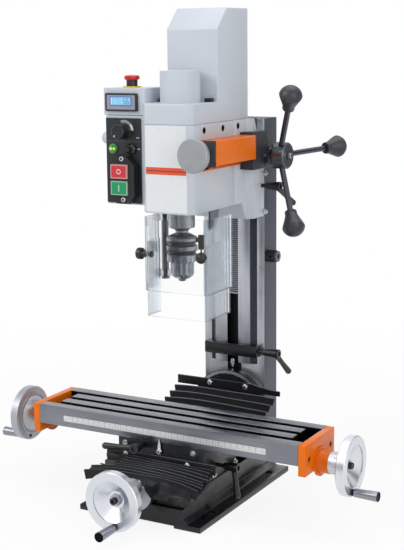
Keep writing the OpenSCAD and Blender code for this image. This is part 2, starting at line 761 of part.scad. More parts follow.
// Stop block on the column's dovetail, with its clamping lever
module stop_collar() {
    front_y = way_front_y - 9.5;
    color(cast_black) difference() {
        box([-stop_w / 2, stop_w / 2], [front_y, column_y - loose], [stop_z, stop_z + stop_h]);
        translate([0, 0, stop_z - 1]) linear_extrude(stop_h + 2)
            translate([0, way_front_y - way_gap]) way_shape(way_gap, way_depth);
        box([-rack_w / 2 - 1, rack_w / 2 + 1], [front_y - 1 + 4, way_front_y], [stop_z - 1, stop_z + stop_h + 1]);
        rod_x(7, stop_w / 2 - 8, stop_w / 2 + 1, 142, stop_z + stop_h / 2);
    }
}
module stop_lever() {
    color(plastic_black) {
        translate([stop_w / 2 + face_gap, 142, stop_z + stop_h / 2]) rotate([0, 90, 0])
            rotate(45.7) lever(10, 28, 58);
    }
}

// Head slide: the casting that grips the dovetail and carries the head body
module slide_outline() {
    b = head_w / 2;
    w = column_w / 2;
    polygon([
        [-b, head_seam_y], [b, head_seam_y], [b, body_back_y], [w, slide_y0], [w, column_y - loose],
        [-w, column_y - loose], [-w, slide_y0], [-b, body_back_y]
    ]);
}
module head_slide() {
    w = column_w / 2;
    color(paint_white) difference() {
        union() {
            intersection() {
                translate([0, 0, slide_bottom_z]) linear_extrude(head_top_z - slide_bottom_z) slide_outline();
                along_x(-w - 1, w + 1) polygon([
                    [head_seam_y, head_bottom_z], [96, head_bottom_z], [106, slide_bottom_z], [column_y, slide_bottom_z],
                    [column_y, slide_top_z], [126, slide_top_z], [cover_back_y, head_top_z], [head_seam_y, head_top_z]
                ]);
            }
            translate([0, 0, slide_bottom_z]) linear_extrude(slide_top_z - slide_bottom_z) slide_lips();
        }
        translate([0, 0, slide_bottom_z - 1]) linear_extrude(head_top_z)
            translate([0, way_front_y - way_gap]) way_shape(way_gap, way_depth + 2);
        translate([0, pinion_y, pinion_z]) rotate([0, 90, 0]) {
            translate([0, 0, -13]) cylinder(d = 2 * (pinion_r + rack_module) + 1.5, h = 26);
            translate([0, 0, -30]) cylinder(d = pinion_shaft_d + 2 * fit, h = 100);
        }
        box([-13, 13], [pinion_y, way_front_y + 1], [pinion_z - 13.75, pinion_z + 13.75]);
        translate([0, pinion_y, pinion_z]) rotate([0, 90, 0]) translate([0, 0, w - 4.5])
            cylinder(d = worm_wheel_d + 2, h = 10);
        rod_y(12.4, 100, column_y, fine_x, fine_z);
        rod_x(10, head_w / 2 - 5, head_w / 2 + 1, side_hole_y[2], side_hole_z);
        rod_x(7, w - 12, w + 1, head_lock_y, head_lock_z);
    }
}
// Lips that reach behind the dovetail
module slide_lips() {
    undercut = 42 - loose;
    for (s = [-1, 1]) polygon([
        [s * (way_w / 2 - way_depth * flare + 0.6), way_root_y - loose], [s * undercut, way_root_y - loose],
        [s * undercut, column_y - 1], [s * (way_w / 2 - (way_out - 1) * flare + 0.1), column_y - 1]
    ]);
}

// Head body: the spindle housing in front of the slide
module head_outline(y1) {
    b = head_w / 2;
    c = head_bevel;
    polygon([
        [-b + c, head_front_y], [b - c, head_front_y], [b, head_front_y + c], [b, y1], [-b, y1], [-b, head_front_y + c]
    ]);
}
module head_body() {
    bearing_d = spindle_d + 17;
    color(paint_white) difference() {
        translate([0, 0, head_bottom_z]) linear_extrude(head_h) head_outline(head_seam_y);
        rod_z(spindle_d + 4, head_bottom_z - 1, head_top_z + 1, 0, spindle_pos);
        rod_z(bearing_d, head_bottom_z - 1, head_bottom_z + 18, 0, spindle_pos);
        rod_z(bearing_d, head_top_z - 18, head_top_z + 1, 0, spindle_pos);
        for (i = [0, 1]) rod_x(10, head_w / 2 - 5, head_w / 2 + 1, side_hole_y[i], side_hole_z);
        rod_z(post_stud_d, head_bottom_z - 1, head_bottom_z + post_stud_l, post_x, post_y);
    }
}
// Cover: a shallow rim, a tube over the spindle and the tower over the motor, open below
module cover_solid(w) {
    z0 = head_top_z;
    b = head_w / 2 - w;
    c = head_bevel;
    fy = head_front_y + w;
    translate([0, 0, z0 - (w > 0 ? 1 : 0)]) linear_extrude(cover_rim_h - w + (w > 0 ? 1 : 0)) polygon([
        [-b + c, fy], [b - c, fy], [b, fy + c], [b, cover_back_y - w], [-b, cover_back_y - w], [-b, fy + c]
    ]);
    along_x(-b, b) polygon([
        [tower_y0 + w, z0 + w], [cover_back_y - w, z0 + w], [cover_back_y - w, cover_top_z + tower_h - w],
        [tower_y0 + tower_bevel + w * 0.4, cover_top_z + tower_h - w],
        [tower_y0 + w, cover_top_z + tower_h - tower_bevel - w * 0.4]
    ]);
    rod_z(2 * (tube_r - w), cover_top_z - w - 1, cover_top_z + tube_h - w, 0, spindle_pos);
}
module head_cover() {
    color(paint_white) difference() {
        cover_solid(0);
        cover_solid(cover_wall);
    }
}

// Ball bearings of the spindle, each a ring
module spindle_bearings() {
    bearing_d = spindle_d + 17;
    color(steel) for (z = [head_bottom_z + 3, head_top_z - 17]) difference() {
        rod_z(bearing_d, z, z + 14, 0, spindle_pos);
        rod_z(spindle_d + 2 * fit, z - 1, z + 15, 0, spindle_pos);
    }
}
// Spindle with its nose, the taper for the chuck and the driven pulley
pulley_z = head_top_z + 8;
pulley_h = 12;
spindle_pulley_r = 24;
motor_pulley_r = 14;
module spindle() {
    nose_bottom = head_bottom_z - nose_l;
    color(steel) translate([0, spindle_pos, 0]) {
        rotate_extrude() polygon([
            [0, chuck_top_z - 6], [7, chuck_top_z - 6], [8, chuck_top_z + eps], [10, chuck_top_z + 1.5],
            [10, nose_bottom - 3], [14, nose_bottom], [nose_d / 2 - 1, nose_bottom + 1.5],
            [nose_d / 2, nose_bottom + 3], [nose_d / 2, head_bottom_z - 1], [spindle_d / 2, head_bottom_z - 1],
            [spindle_d / 2, pulley_z + pulley_h + 14], [0, pulley_z + pulley_h + 14]
        ]);
        translate([0, 0, pulley_z]) difference() {
            pulley(spindle_pulley_r);
            translate([0, 0, -1]) cylinder(d = spindle_d, h = pulley_h + 2);
        }
    }
}
module pulley(r) {
    rotate_extrude() polygon([
        [0, 0], [r + 3, 0], [r + 3, 1.5], [r, 1.7], [r, pulley_h - 1.7], [r + 3, pulley_h - 1.5], [r + 3, pulley_h],
        [0, pulley_h]
    ]);
}
// Motor on its plate and posts
plate_bottom = head_top_z + 28;
motor_shaft_d = 10;
module motor() {
    color([0.25, 0.26, 0.28]) difference() {
        union() {
            rod_z(motor_d, plate_bottom + 3, plate_bottom + motor_l, 0, motor_y);
            box([-38, 38], [motor_y - 42, motor_y + 42], [plate_bottom, plate_bottom + 4]);
            for (x = [-33, 33], y = [-36, 36]) rod_z(8, head_top_z, plate_bottom + 1, x, motor_y + y);
        }
        rod_z(motor_shaft_d + 2 * fit, plate_bottom - 1, plate_bottom + 12, 0, motor_y);
    }
}
module motor_pulley() {
    color(steel) translate([0, motor_y, 0]) {
        translate([0, 0, pulley_z]) pulley(motor_pulley_r);
        translate([0, 0, pulley_z]) cylinder(d = motor_shaft_d, h = plate_bottom + 11 - pulley_z);
    }
}
// Toothed belt round both pulleys
module belt_area(extra) {
    r1 = spindle_pulley_r + extra;
    r2 = motor_pulley_r + extra;
    d = motor_y - spindle_pos;
    s = (r1 - r2) / d;
    c = sqrt(1 - s * s);
    translate([0, spindle_pos]) circle(r1);
    translate([0, motor_y]) circle(r2);
    polygon([
        [r1 * c, spindle_pos + r1 * s], [r2 * c, motor_y + r2 * s], [-r2 * c, motor_y + r2 * s],
        [-r1 * c, spindle_pos + r1 * s]
    ]);
}
module drive_belt() {
    color(rubber) translate([0, 0, pulley_z + 2.2]) linear_extrude(pulley_h - 4.4) difference() {
        belt_area(2.3);
        belt_area(0.3);
    }
}

// Feed gear: rack pinion on its shaft, worm wheel with dogs, worm shaft with knob
worm_wheel_r = worm_wheel_teeth * worm_module / 2;
worm_wheel_d = 2 * (worm_wheel_r + worm_module);
fine_z = pinion_z + worm_wheel_r + worm_r;
dog_h = 2.5;
wheel_out_x = gear_case_x + 1.5;
hub_x0 = wheel_out_x + 0.2 + clutch_travel + dog_h;
module pinion_shaft() {
    color(steel) translate([0, pinion_y, pinion_z]) {
        rotate([90, 0, 90]) translate([0, 0, -9.5]) linear_extrude(19)
            gear_outline(rack_module, pinion_teeth, 0.1, 180 / pinion_teeth);
        rotate([0, 90, 0]) translate([0, 0, -28])
            cylinder(d = pinion_shaft_d, h = 28 + hub_x0 + hub_l - clutch_travel - 4);
    }
}
module dog_ring(x0, h, turn) {
    translate([x0, 0, 0]) rotate([0, 90, 0]) for (k = [0 : dogs - 1]) rotate(turn + k * 360 / dogs)
        intersection() {
            difference() {
                cylinder(r = 13.4, h = h);
                translate([0, 0, -1]) cylinder(r = pinion_shaft_d / 2 + 1.2, h = h + 2);
            }
            linear_extrude(h) polygon([[0, 0], [20, -20 * tan(74 / dogs)], [20, 20 * tan(74 / dogs)]]);
        }
}
module worm_wheel() {
    color([0.72, 0.52, 0.25]) translate([0, pinion_y, pinion_z]) difference() {
        union() {
            rotate([90, 0, 90]) translate([0, 0, fine_x - 3]) linear_extrude(6)
                gear_outline(worm_module, worm_wheel_teeth, 0.32, 90 + 180 / worm_wheel_teeth);
            translate([fine_x - 3, 0, 0]) rotate([0, 90, 0]) cylinder(r = 9.6, h = wheel_out_x - fine_x + 3);
            translate([gear_case_x + loose, 0, 0]) rotate([0, 90, 0]) cylinder(r = 14, h = wheel_out_x - gear_case_x - loose);
            dog_ring(wheel_out_x - eps, dog_h, 0);
        }
        translate([fine_x - 4, 0, 0]) rotate([0, 90, 0]) cylinder(d = pinion_shaft_d + 2 * fit, h = 30);
    }
}
// Worm, its shaft and the plain round knob in one turned piece
// Cross section of a single thread: the radius follows the thread's flanks round one turn
function worm_radius(a) =
    let (along = (a > 180 ? 360 - a : a) / 360 * PI * worm_module)
    worm_r + max(-1.1 * worm_module, min(0.85 * worm_module, (PI * worm_module / 4 - along) / tan(20) - 0.1));
module worm_thread(l) {
    turns = l / (PI * worm_module);
    linear_extrude(l, twist = -360 * turns, slices = ceil(turns * 12), convexity = 8, $fn = 24)
        rotate(90 - 180 * turns) polygon([for (a = [0 : 15 : 345]) worm_radius(a) * [cos(a), sin(a)]]);
}
module fine_feed() {
    worm_l = 14;
    y0 = -90;
    color(steel) translate([fine_x, 0, fine_z]) rotate([-90, 0, 0]) {
        translate([0, 0, y0]) rotate_extrude() polygon([
            [0, 0], [fine_knob_d / 2 - 1, 0], [fine_knob_d / 2, 1], [fine_knob_d / 2, fine_knob_t - 1],
            [fine_knob_d / 2 - 1, fine_knob_t], [7, fine_knob_t], [6, fine_knob_t + 4], [fine_shaft_d / 2, fine_knob_t + 4],
            [fine_shaft_d / 2, pinion_y - y0 + 14], [0, pinion_y - y0 + 14]
        ]);
        translate([0, 0, pinion_y - worm_l / 2]) worm_thread(worm_l);
    }
}
// Gear case on the side of the slide, and the bearing plate at the front of the feed cover
case_y0 = 88;
case_y1 = 151.5;
cover_y0 = -42.4;
feed_cover_x = gear_case_x + 4.5;
module gear_case() {
    z0 = pinion_z - 20.1;
    z1 = fine_z + 22;
    w = column_w / 2;
    b = head_w / 2;
    color(cast_black) {
        difference() {
            along_x(b, gear_case_x) polygon([
                [case_y0, z0], [case_y1, z0], [case_y1, z1 - 16], [case_y1 - 14, z1], [case_y0, z1]
            ]);
            translate([0, 0, z0 - 1]) linear_extrude(z1 - z0 + 2) polygon([
                [b - 1, body_back_y], [b, body_back_y], [w, slide_y0], [w, case_y1 + 1], [b - 1, case_y1 + 1]
            ]);
            translate([0, pinion_y, pinion_z]) rotate([0, 90, 0]) {
                translate([0, 0, b - 1]) cylinder(d = worm_wheel_d + 2, h = fine_x + 3.8 - b + 1);
                cylinder(r = 9.65, h = gear_case_x + 1);
            }
            rod_y(12.4, pinion_y - 12.5, pinion_y + 12.5, fine_x, fine_z);
            rod_y(fine_shaft_d + 2 * fit, case_y0 - 1, case_y1 + 1, fine_x, fine_z);
        }
        difference() {
            box([b, feed_cover_x + 0.5], [cover_y0 - 5.6, cover_y0], [fine_z - 20, fine_z + 19]);
            rod_y(fine_shaft_d + 2 * fit, cover_y0 - 7, cover_y0 + 1, fine_x, fine_z);
        }
    }
}
// Folded cover over the fine feed shaft
module feed_cover() {
    b = head_w / 2;
    t = 2;
    z0 = fine_z - 19.5;
    z1 = fine_z + 18;
    color(orange) {
        difference() {
            box([b, feed_cover_x], [cover_y0, case_y0], [z0, z1]);
            box([b - 1, feed_cover_x - t], [cover_y0 - 1, case_y0 + 1], [z0 - 1, z1 - t]);
        }
        box([b, b + t], [cover_y0 + 8, case_y0 - 1], [z0 - 8, z0 + 6]);
        box([b + t - eps, feed_cover_x - t + eps], [cover_y0 + 8, case_y0 - 1], [z0, z0 + t]);
    }
}
// Hub with dogs that slides on the pinion shaft, and the three spokes with their knobs
module clutch_hub() {
    color(plastic_black) translate([0, pinion_y, pinion_z]) difference() {
        union() {
            translate([hub_x0, 0, 0]) rotate([0, 90, 0]) rotate_extrude() polygon([
                [0, 0], [15, 0], [15, 5], [hub_d / 2 - 1, 8], [hub_d / 2, 10], [hub_d / 2, hub_l - 2],
                [hub_d / 2 - 2, hub_l], [0, hub_l]
            ]);
            dog_ring(hub_x0 - dog_h, dog_h + 0.1, 180 / dogs);
        }
        translate([hub_x0 - 5, 0, 0]) rotate([0, 90, 0]) cylinder(d = pinion_shaft_d + 2 * fit, h = 2 + hub_l);
        for (k = [0 : 2]) spoke_place(k) cylinder(d = spoke_d, h = 40);
    }
}
// Where the spokes start on the hub axis
spoke_x = hub_x0 + 14.5;
module spoke_place(k) {
    translate([spoke_x, 0, 0]) rotate([spoke_turn - 90 - 120 * k, 0, 0]) rotate([0, spoke_lean, 0])
        translate([0, 0, 13]) children();
}
spoke_l = knob_r / cos(spoke_lean) - 13;
module feed_spokes() {
    color(steel) translate([0, pinion_y, pinion_z])
        for (k = [0 : 2]) spoke_place(k) cylinder(d = spoke_d, h = spoke_l + 4);
}
module feed_knobs() {
    d = feed_knob_d;
    l = feed_knob_l;
    cap_h = l * 0.34;
    cap_r = (pow(d / 2 - 0.2, 2) + pow(cap_h, 2)) / (2 * cap_h);
    color([0.24, 0.25, 0.27]) translate([0, pinion_y, pinion_z]) for (k = [0 : 2]) spoke_place(k)
        translate([0, 0, spoke_l - l * 0.62]) difference() {
            union() {
                rotate_extrude() polygon([
                    [0, 0], [9, 0], [9.5, 1], [9.5, 5], [10.5, 9], [d / 2 - 1.2, l * 0.58], [d / 2 - 0.2, l - cap_h],
                    [0, l - cap_h]
                ]);
                intersection() {
                    translate([0, 0, l - cap_r]) sphere(r = cap_r);
                    translate([0, 0, l - cap_h - eps]) cylinder(d = d, h = cap_h + 1);
                }
            }
            translate([0, 0, -1]) cylinder(d = spoke_d, h = l * 0.62 + 5);
        }
}

// Chuck: body on the spindle taper, sleeve with grip grooves, three jaws
module chuck_body() {
    r = chuck_d / 2;
    top = chuck_top_z;
    z = chuck_joint_z;
    color(steel) translate([0, spindle_pos, 0]) difference() {
        rotate_extrude() polygon([
            [0, top], [11, top], [r - 1, top - 6], [r, top - 7], [r, z + 18], [r - 3, z + 17], [r - 3, z + 14],
            [r, z + 13], [r, z + 5], [r - 3, z + 4], [r - 3, z + 0.2], [13, z + 0.2], [13, chuck_bottom_z + 6],
            [0, chuck_bottom_z + 6]
        ]);
        rotate_extrude() polygon([
            [0, top - 6], [7, top - 6], [8, top], [8, top + 1], [0, top + 1]
        ]);
        translate([0, 0, chuck_bottom_z + 5]) cylinder(r = 8, h = 32);
    }
}
module chuck_sleeve() {
    r = chuck_d / 2;
    s = sleeve_d / 2;
    z = chuck_joint_z;
    b = chuck_bottom_z;
    color(steel) translate([0, spindle_pos, 0]) difference() {
        rotate_extrude() polygon([
            [13 + fit, z], [r - 1, z], [r - 0.5, z - 1], [r - 0.5, z - 10.5], [s, z - 13], [s, b + 7], [s - 2, b + 3],
            [s - 6, b], [9, b], [9, b + 5], [13 + fit, b + 5.5]
        ]);
        for (k = [0 : 11]) rotate(k * 30) translate([s + 2.2, 0, b + 9]) cylinder(r = 3, h = z - b - 21);
    }
}
module chuck_jaws() {
    tip = chuck_bottom_z - jaw_out;
    color(steel) translate([0, spindle_pos, 0]) for (k = [0 : 2]) rotate(k * 120 + 30) difference() {
        intersection() {
            translate([0, 0, tip]) cylinder(r1 = 5, r2 = 7.9, h = 5);
            linear_extrude(chuck_top_z) jaw_sector();
        }
        translate([0, 0, tip - 1]) cylinder(r = 0.8, h = 40);
    }
    color(steel) translate([0, spindle_pos, 0]) for (k = [0 : 2]) rotate(k * 120 + 30) difference() {
        intersection() {
            translate([0, 0, tip + 5 - eps]) cylinder(r = 7.9, h = 30);
            linear_extrude(chuck_top_z) jaw_sector();
        }
        translate([0, 0, tip - 1]) cylinder(r = 0.8, h = 40);
    }
}
module jaw_sector() {
    polygon([[0.4, 0], [10, -16], [20, 0], [10, 16]]);
}

// Guard: post under the head, outer and inner clear boxes, clamp screw and ball handle
post_x = -39.5;
post_y = -4;
post_stud_d = post_d - 5;
post_stud_l = 8;
guard_y0 = spindle_pos - guard_front;
guard_top_z = head_bottom_z - 7;
guard_bottom_z = guard_top_z - guard_h;
inner_bottom_z = guard_bottom_z - inner_drop;
screw_z = inner_bottom_z + inner_h - 21;
screw_gy = -46;
slot_reach = 40;
module guard_post() {
    color(steel) {
        rod_z(post_d, guard_bottom_z + 10, head_bottom_z, post_x, post_y);
        rod_z(post_stud_d, head_bottom_z - 1, head_bottom_z + post_stud_l, post_x, post_y);
        rod_z(post_d + 1.6, guard_bottom_z + 10, guard_bottom_z + 13, post_x, post_y);
        along_x(33, 36) polygon([
            [4, head_bottom_z], [33, head_bottom_z], [24, head_bottom_z - 36], [5, head_bottom_z - 34]
        ]);
    }
}
// A clear sheet bent twice: a front and two sides, seen from above
module guard_wall(x0, x1, y0, y_left, y_right, z0, z1, bend) {
    translate([0, 0, z0]) linear_extrude(z1 - z0) difference() {
        guard_area(x0, x1, y0, y_right, bend, 0);
        guard_area(x0, x1, y0, y_right + 1, bend, sheet_t);
        translate([x0 - 1, y_left]) square([bend + 1, y_right - y_left + 1]);
    }
}
module guard_area(x0, x1, y0, y1, bend, in) {
    for (x = [x0 + bend, x1 - bend]) translate([x, y0 + bend]) circle(bend - in);
    translate([x0 + bend, y0 + in]) square([x1 - x0 - 2 * bend, y1 - y0 - in]);
    translate([x0 + in, y0 + bend]) square([x1 - x0 - 2 * in, y1 - y0 - bend]);
}
module guard_outer() {
    z0 = guard_bottom_z;
    z1 = guard_top_z;
    color([0.85, 0.92, 0.95, 0.4]) difference() {
        union() {
            guard_wall(-guard_left, guard_right, guard_y0, post_y - 7, 25, z0, z1, guard_bend);
            for (z = [z0 + 14, z1 - 12]) {
                rod_z(post_d + 6, z, z + 10, post_x, post_y);
                box([-guard_left, -guard_left + sheet_t], [post_y - 8, post_y], [z, z + 10]);
            }
        }
        rod_z(post_d + 2 * fit, z0 - 1, z1 + 1, post_x, post_y);
        box([-guard_left - 1, -guard_left + sheet_t + 0.2], [screw_gy - 3.2, screw_gy + 3.2],
            [screw_z - slot_reach - 3.2, screw_z + slot_reach + 3.2]);
    }
}
inner_left = guard_left - sheet_t - 0.5;
module guard_inner() {
    z0 = inner_bottom_z;
    color([0.85, 0.92, 0.95, 0.4]) difference() {
        guard_wall(-inner_left, guard_right - sheet_t - 0.5, guard_y0 + sheet_t + 0.5, post_y - 9.7, 23,
            z0, z0 + inner_h, guard_bend - sheet_t - 0.5);
        rod_x(6.1, -inner_left - 1, -inner_left + sheet_t + 1, screw_gy, screw_z);
    }
}
module guard_screw() {
    color(plastic_black) translate([-inner_left + sheet_t + 2, screw_gy, screw_z]) rotate([0, -90, 0]) {
        cylinder(d = 6, h = 14);
        rotate_extrude() polygon([[0, -0.5], [5, -0.5], [5, 1.9], [0, 1.9]]);
        translate([0, 0, sheet_t * 2 + 3.2]) rotate_extrude() polygon([
            [0, 0], [5, 0], [5.5, 6], [7, 7.5], [8.5, 8], [9, 9.5], [9, 15], [8, 16.5], [0, 16.5]
        ]);
    }
}
module guard_handle() {
    x = guard_right - 4;
    y = guard_y0 - 9;
    ball_d = 17;
    color(plastic_black) {
        box([x - 9, x - guard_bend + 5], [y, guard_y0], [guard_top_z - 31, guard_top_z - 25]);
        rod_z(9, guard_top_z - 41, guard_top_z - 20, x, y);
        rod_z(2.4, guard_top_z - 48, guard_top_z - 40, x, y);
        translate([x, y, guard_top_z - 54.3]) sphere(d = ball_d);
    }
}

// Control box on the left of the head, with what it carries
box_x1 = -head_w / 2;
box_x0 = box_x1 - box_w - 2;
box_y0 = spindle_pos - box_front;
panel_x = [box_x0 + 5.5, box_x1 - 7.2];
panel_z = [box_bottom_z + 2, box_split_z - 3.8];
panel_y = box_y0 - 2;
lamp_row_z = box_split_z - 50;
module control_box() {
    y1 = box_y0 + box_d;
    color(paint_white) difference() {
        control_housing(y1);
        rod_z(17.6, box_top_z - 6, box_top_z + 3, estop_x, estop_y);
    }
}
module control_housing(y1) {
    union() {
        translate([0, 0, box_split_z + 0.8]) linear_extrude(box_top_z - box_split_z - 0.8)
            round_rect(box_x0, box_x1, box_y0, y1, 3);
        translate([0, 0, box_bottom_z]) linear_extrude(box_split_z - box_bottom_z)
            round_rect(box_x0 + 3, box_x1, box_y0, y1 - 4, 3);
        box([box_x0 + 8, box_x1 - 8], [box_y0 + 4, y1 - 8], [box_split_z - 1, box_split_z + 2]);
        rod_z(28.4, box_top_z - 1, box_top_z + 2, estop_x, estop_y);
        translate([box_x0 + 3, box_y0 + 12, box_split_z - 35]) rotate([0, -90, 0]) rotate_extrude() polygon([
            [0, -1], [9.5, -1], [9.5, 5], [8.8, 8], [7, 10.5], [4, 12], [0, 12.5]
        ]);
    }
}
module control_panel() {
    color(plastic_black) translate([0, box_y0, 0]) rotate([90, 0, 0]) linear_extrude(2)
        round_rect(panel_x[0], panel_x[1], panel_z[0], panel_z[1], 1.5);
}
module display() {
    x0 = box_x0 + 6;
    x1 = box_x1 - 12;
    z0 = box_split_z + 6.4;
    z1 = z0 + 27;
    color(plastic_black) difference() {
        along_y(box_y0 - 4, box_y0) round_rect(x0, x1, z0, z1, 2);
        box([x0 + 3.5, x1 - 3.5], [box_y0 - 5, box_y0 - 2.5], [z0 + 3.2, z1 - 3.2]);
    }
    color([0.55, 0.75, 0.9]) box([x0 + 3.5, x1 - 3.5], [box_y0 - 2.5, box_y0 - 1.6], [z0 + 3.2, z1 - 3.2]);
}
estop_x = box_x0 + 35.8;
estop_y = box_y0 + 26;
module estop_button() {
    color([0.8, 0.05, 0.05]) translate([estop_x, estop_y, box_top_z]) rotate_extrude() polygon([
        [0, -1], [8.5, -1], [8.5, 11], [11, 12], [11.8, 13.5], [11.8, 16.5], [10.5, 18], [4, 18.8], [0, 19]
    ]);
}
module speed_knob() {
    color(plastic_black) turned_front(box_x1 - 36.2, panel_y, box_split_z - 23) polygon([
        [0, 0.3], [12.5, 0.3], [12.5, 2], [11.5, 3], [11, 19], [10, 20], [0, 20]
    ]);
}
module power_lamp() {
    color([0.15, 0.6, 0.2]) turned_front(box_x0 + 18.3, panel_y, lamp_row_z) polygon([[0, 0], [7.5, 0], [7.5, 2], [6, 3], [0, 3.4]]);
}
module direction_switch() {
    color(plastic_black) turned_front(box_x1 - 23.6, panel_y, lamp_row_z) polygon([
        [0, 0.3], [8.3, 0.3], [8.3, 3], [6.5, 5], [4.6, 6], [4.6, 14], [3.6, 16], [0, 16]
    ]);
}
frame_x = [panel_x[0] + 11.3, panel_x[1] - 6];
frame_z = [panel_z[0] + 0.2, panel_z[0] + 71.8];
frame_t = 12;
button_x = [frame_x[0] + 4.5, frame_x[1] - 10.5];
stop_z_range = [frame_z[0] + 38.3, frame_z[0] + 59.3];
start_z_range = [frame_z[0] + 13.3, frame_z[0] + 34.3];
module switch_frame() {
    x0 = frame_x[0];
    x1 = frame_x[1];
    z0 = frame_z[0];
    z1 = frame_z[1];
    mid = (x0 + x1) / 2;
    color(plastic_black) difference() {
        union() {
            along_y(panel_y - frame_t, panel_y) polygon([
                [x0, z0 + 12], [mid - 9, z0], [mid + 9, z0], [x1, z0 + 12], [x1, z1 - 12], [mid + 9, z1], [mid - 9, z1],
                [x0, z1 - 12]
            ]);
            along_y(panel_y - 6, panel_y) polygon([
                [x0 - 2, z0 + 12], [mid - 10, z0 - 1], [mid + 10, z0 - 1], [x1 + 2, z0 + 12], [x1 + 2, z1 - 12],
                [mid + 10, z1 + 1], [mid - 10, z1 + 1], [x0 - 2, z1 - 12]
            ]);
        }
        for (z = [stop_z_range, start_z_range])
            box([button_x[0] - loose, button_x[1] + loose], [panel_y - frame_t - 1, panel_y - 3.5],
                [z[0] - loose, z[1] + loose]);
    }
}
module push_button(z) {
    box(button_x, [panel_y - frame_t - 3, panel_y - 6.5], z);
}
module stop_button() {
    color([0.85, 0.1, 0.12]) push_button(stop_z_range);
}
module start_button() {
    color([0.05, 0.6, 0.3]) push_button(start_z_range);
}

base();
tilt_pivot();
saddle();
gib_screws();
lead_nuts();
bellows_front();
bellows_rear();
table();
end_plates();
x_lead_screw();
x_dial();
x_wheels();
grip_right();
grip_left();
y_lead_screw();
y_dial();
y_wheel();
grip_front();
x_lock_lever();
y_lock_lever();
column();
rack();
spring_boss();
stop_collar();
stop_lever();
head_slide();
head_body();
head_cover();
gear_case();
feed_cover();
head_lock_lever();
spindle();
spindle_bearings();
motor();
motor_pulley();
drive_belt();
pinion_shaft();
worm_wheel();
fine_feed();
clutch_hub();
feed_spokes();
feed_knobs();
chuck_body();
chuck_sleeve();
chuck_jaws();
guard_post();
guard_outer();
guard_inner();
guard_screw();
guard_handle();
control_box();
control_panel();
display();
estop_button();
speed_knob();
power_lamp();
direction_switch();
switch_frame();
stop_button();
start_button();
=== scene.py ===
from math import cos, pi, radians, sin

import bmesh
import bpy
from mathutils import Matrix, Vector


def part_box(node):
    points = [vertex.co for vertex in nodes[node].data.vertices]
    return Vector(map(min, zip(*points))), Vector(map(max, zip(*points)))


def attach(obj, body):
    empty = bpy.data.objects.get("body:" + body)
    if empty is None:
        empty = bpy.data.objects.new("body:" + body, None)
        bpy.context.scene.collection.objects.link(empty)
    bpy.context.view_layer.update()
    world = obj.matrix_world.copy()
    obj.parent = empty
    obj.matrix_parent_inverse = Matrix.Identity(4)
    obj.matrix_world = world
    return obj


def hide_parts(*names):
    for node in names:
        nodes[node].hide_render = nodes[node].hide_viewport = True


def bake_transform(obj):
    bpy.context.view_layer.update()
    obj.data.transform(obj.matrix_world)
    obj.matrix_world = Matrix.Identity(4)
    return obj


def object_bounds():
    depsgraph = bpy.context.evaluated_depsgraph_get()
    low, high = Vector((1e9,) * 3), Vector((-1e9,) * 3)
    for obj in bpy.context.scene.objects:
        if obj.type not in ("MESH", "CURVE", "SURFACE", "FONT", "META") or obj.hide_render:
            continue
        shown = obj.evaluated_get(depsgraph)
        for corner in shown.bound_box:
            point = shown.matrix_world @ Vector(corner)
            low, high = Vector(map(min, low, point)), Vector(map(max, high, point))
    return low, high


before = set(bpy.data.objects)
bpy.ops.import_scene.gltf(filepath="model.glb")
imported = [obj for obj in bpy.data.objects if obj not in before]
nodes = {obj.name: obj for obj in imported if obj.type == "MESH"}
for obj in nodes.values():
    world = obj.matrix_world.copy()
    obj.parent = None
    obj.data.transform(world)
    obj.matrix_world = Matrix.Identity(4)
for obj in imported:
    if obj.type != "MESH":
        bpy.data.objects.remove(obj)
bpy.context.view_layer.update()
scene = bpy.context.scene
MM = 0.001
RIGHT, TO_FRONT, UP = (1, 0, 0), (0, -1, 0), (0, 0, 1)

# Where the axes lie that several pieces share, in mm

TABLE_SCREW = (-42.4, 96.1)  # y and z
CROSS_SCREW = (0, 53.4)  # x and z
FEED_SHAFT = (134.5, 519.6)  # y and z
CHUCK = (0, -20.5)  # x and y
GUARD_POST = (-39.5, -4)  # x and y
SPEED_KNOB = (-80, 566)  # x and z
TILT_Z = 95  # the column tilts about a line along y, at x = 0

# Materials

NOISE_RANGE = (0.3, 0.7)  # where nearly all values of a noise texture lie


def linear(r, g, b):
    """A colour of 0 to 255 as the shader's linear numbers."""
    parts = [c / 255 for c in (r, g, b)]
    return tuple(((c + 0.055) / 1.055) ** 2.4 if c > 0.04045 else c / 12.92 for c in parts) + (1.0,)


class Tree:
    """The node tree of a material or a world, emptied and built up again."""

    def __init__(self, owner):
        owner.use_nodes = True
        self.t = owner.node_tree
        self.t.nodes.clear()

    def put(self, socket, value):
        """Sets a socket, or links it to another node's output."""
        if isinstance(value, bpy.types.NodeSocket):
            self.t.links.new(value, socket)
        else:
            socket.default_value = value

    def node(self, kind, inputs=None, **props):
        n = self.t.nodes.new("ShaderNode" + kind)
        for key, value in props.items():
            setattr(n, key, value)
        for key, value in (inputs or {}).items():
            self.put(n.inputs[key], value)
        return n

    def math(self, op, a, b=0.0, clamp=False):
        return self.node("Math", {0: a, 1: b}, operation=op, use_clamp=clamp).outputs[0]

    def span(self, value, lo, hi, to_lo=0.0, to_hi=1.0, **props):
        """Maps the range lo to hi onto another, and keeps what lies outside at its ends."""
        return self.node("MapRange", {0: value, 1: lo, 2: hi, 3: to_lo, 4: to_hi}, **props).outputs[0]

    def seen(self):
        """1 for rays from the camera, from mirrors and through clear plastic, 0 for scattered light."""
        rays = self.node("LightPath").outputs
        most = self.math("MAXIMUM", rays["Is Camera Ray"], rays["Is Glossy Ray"])
        return self.math("MAXIMUM", most, rays["Is Transmission Ray"])


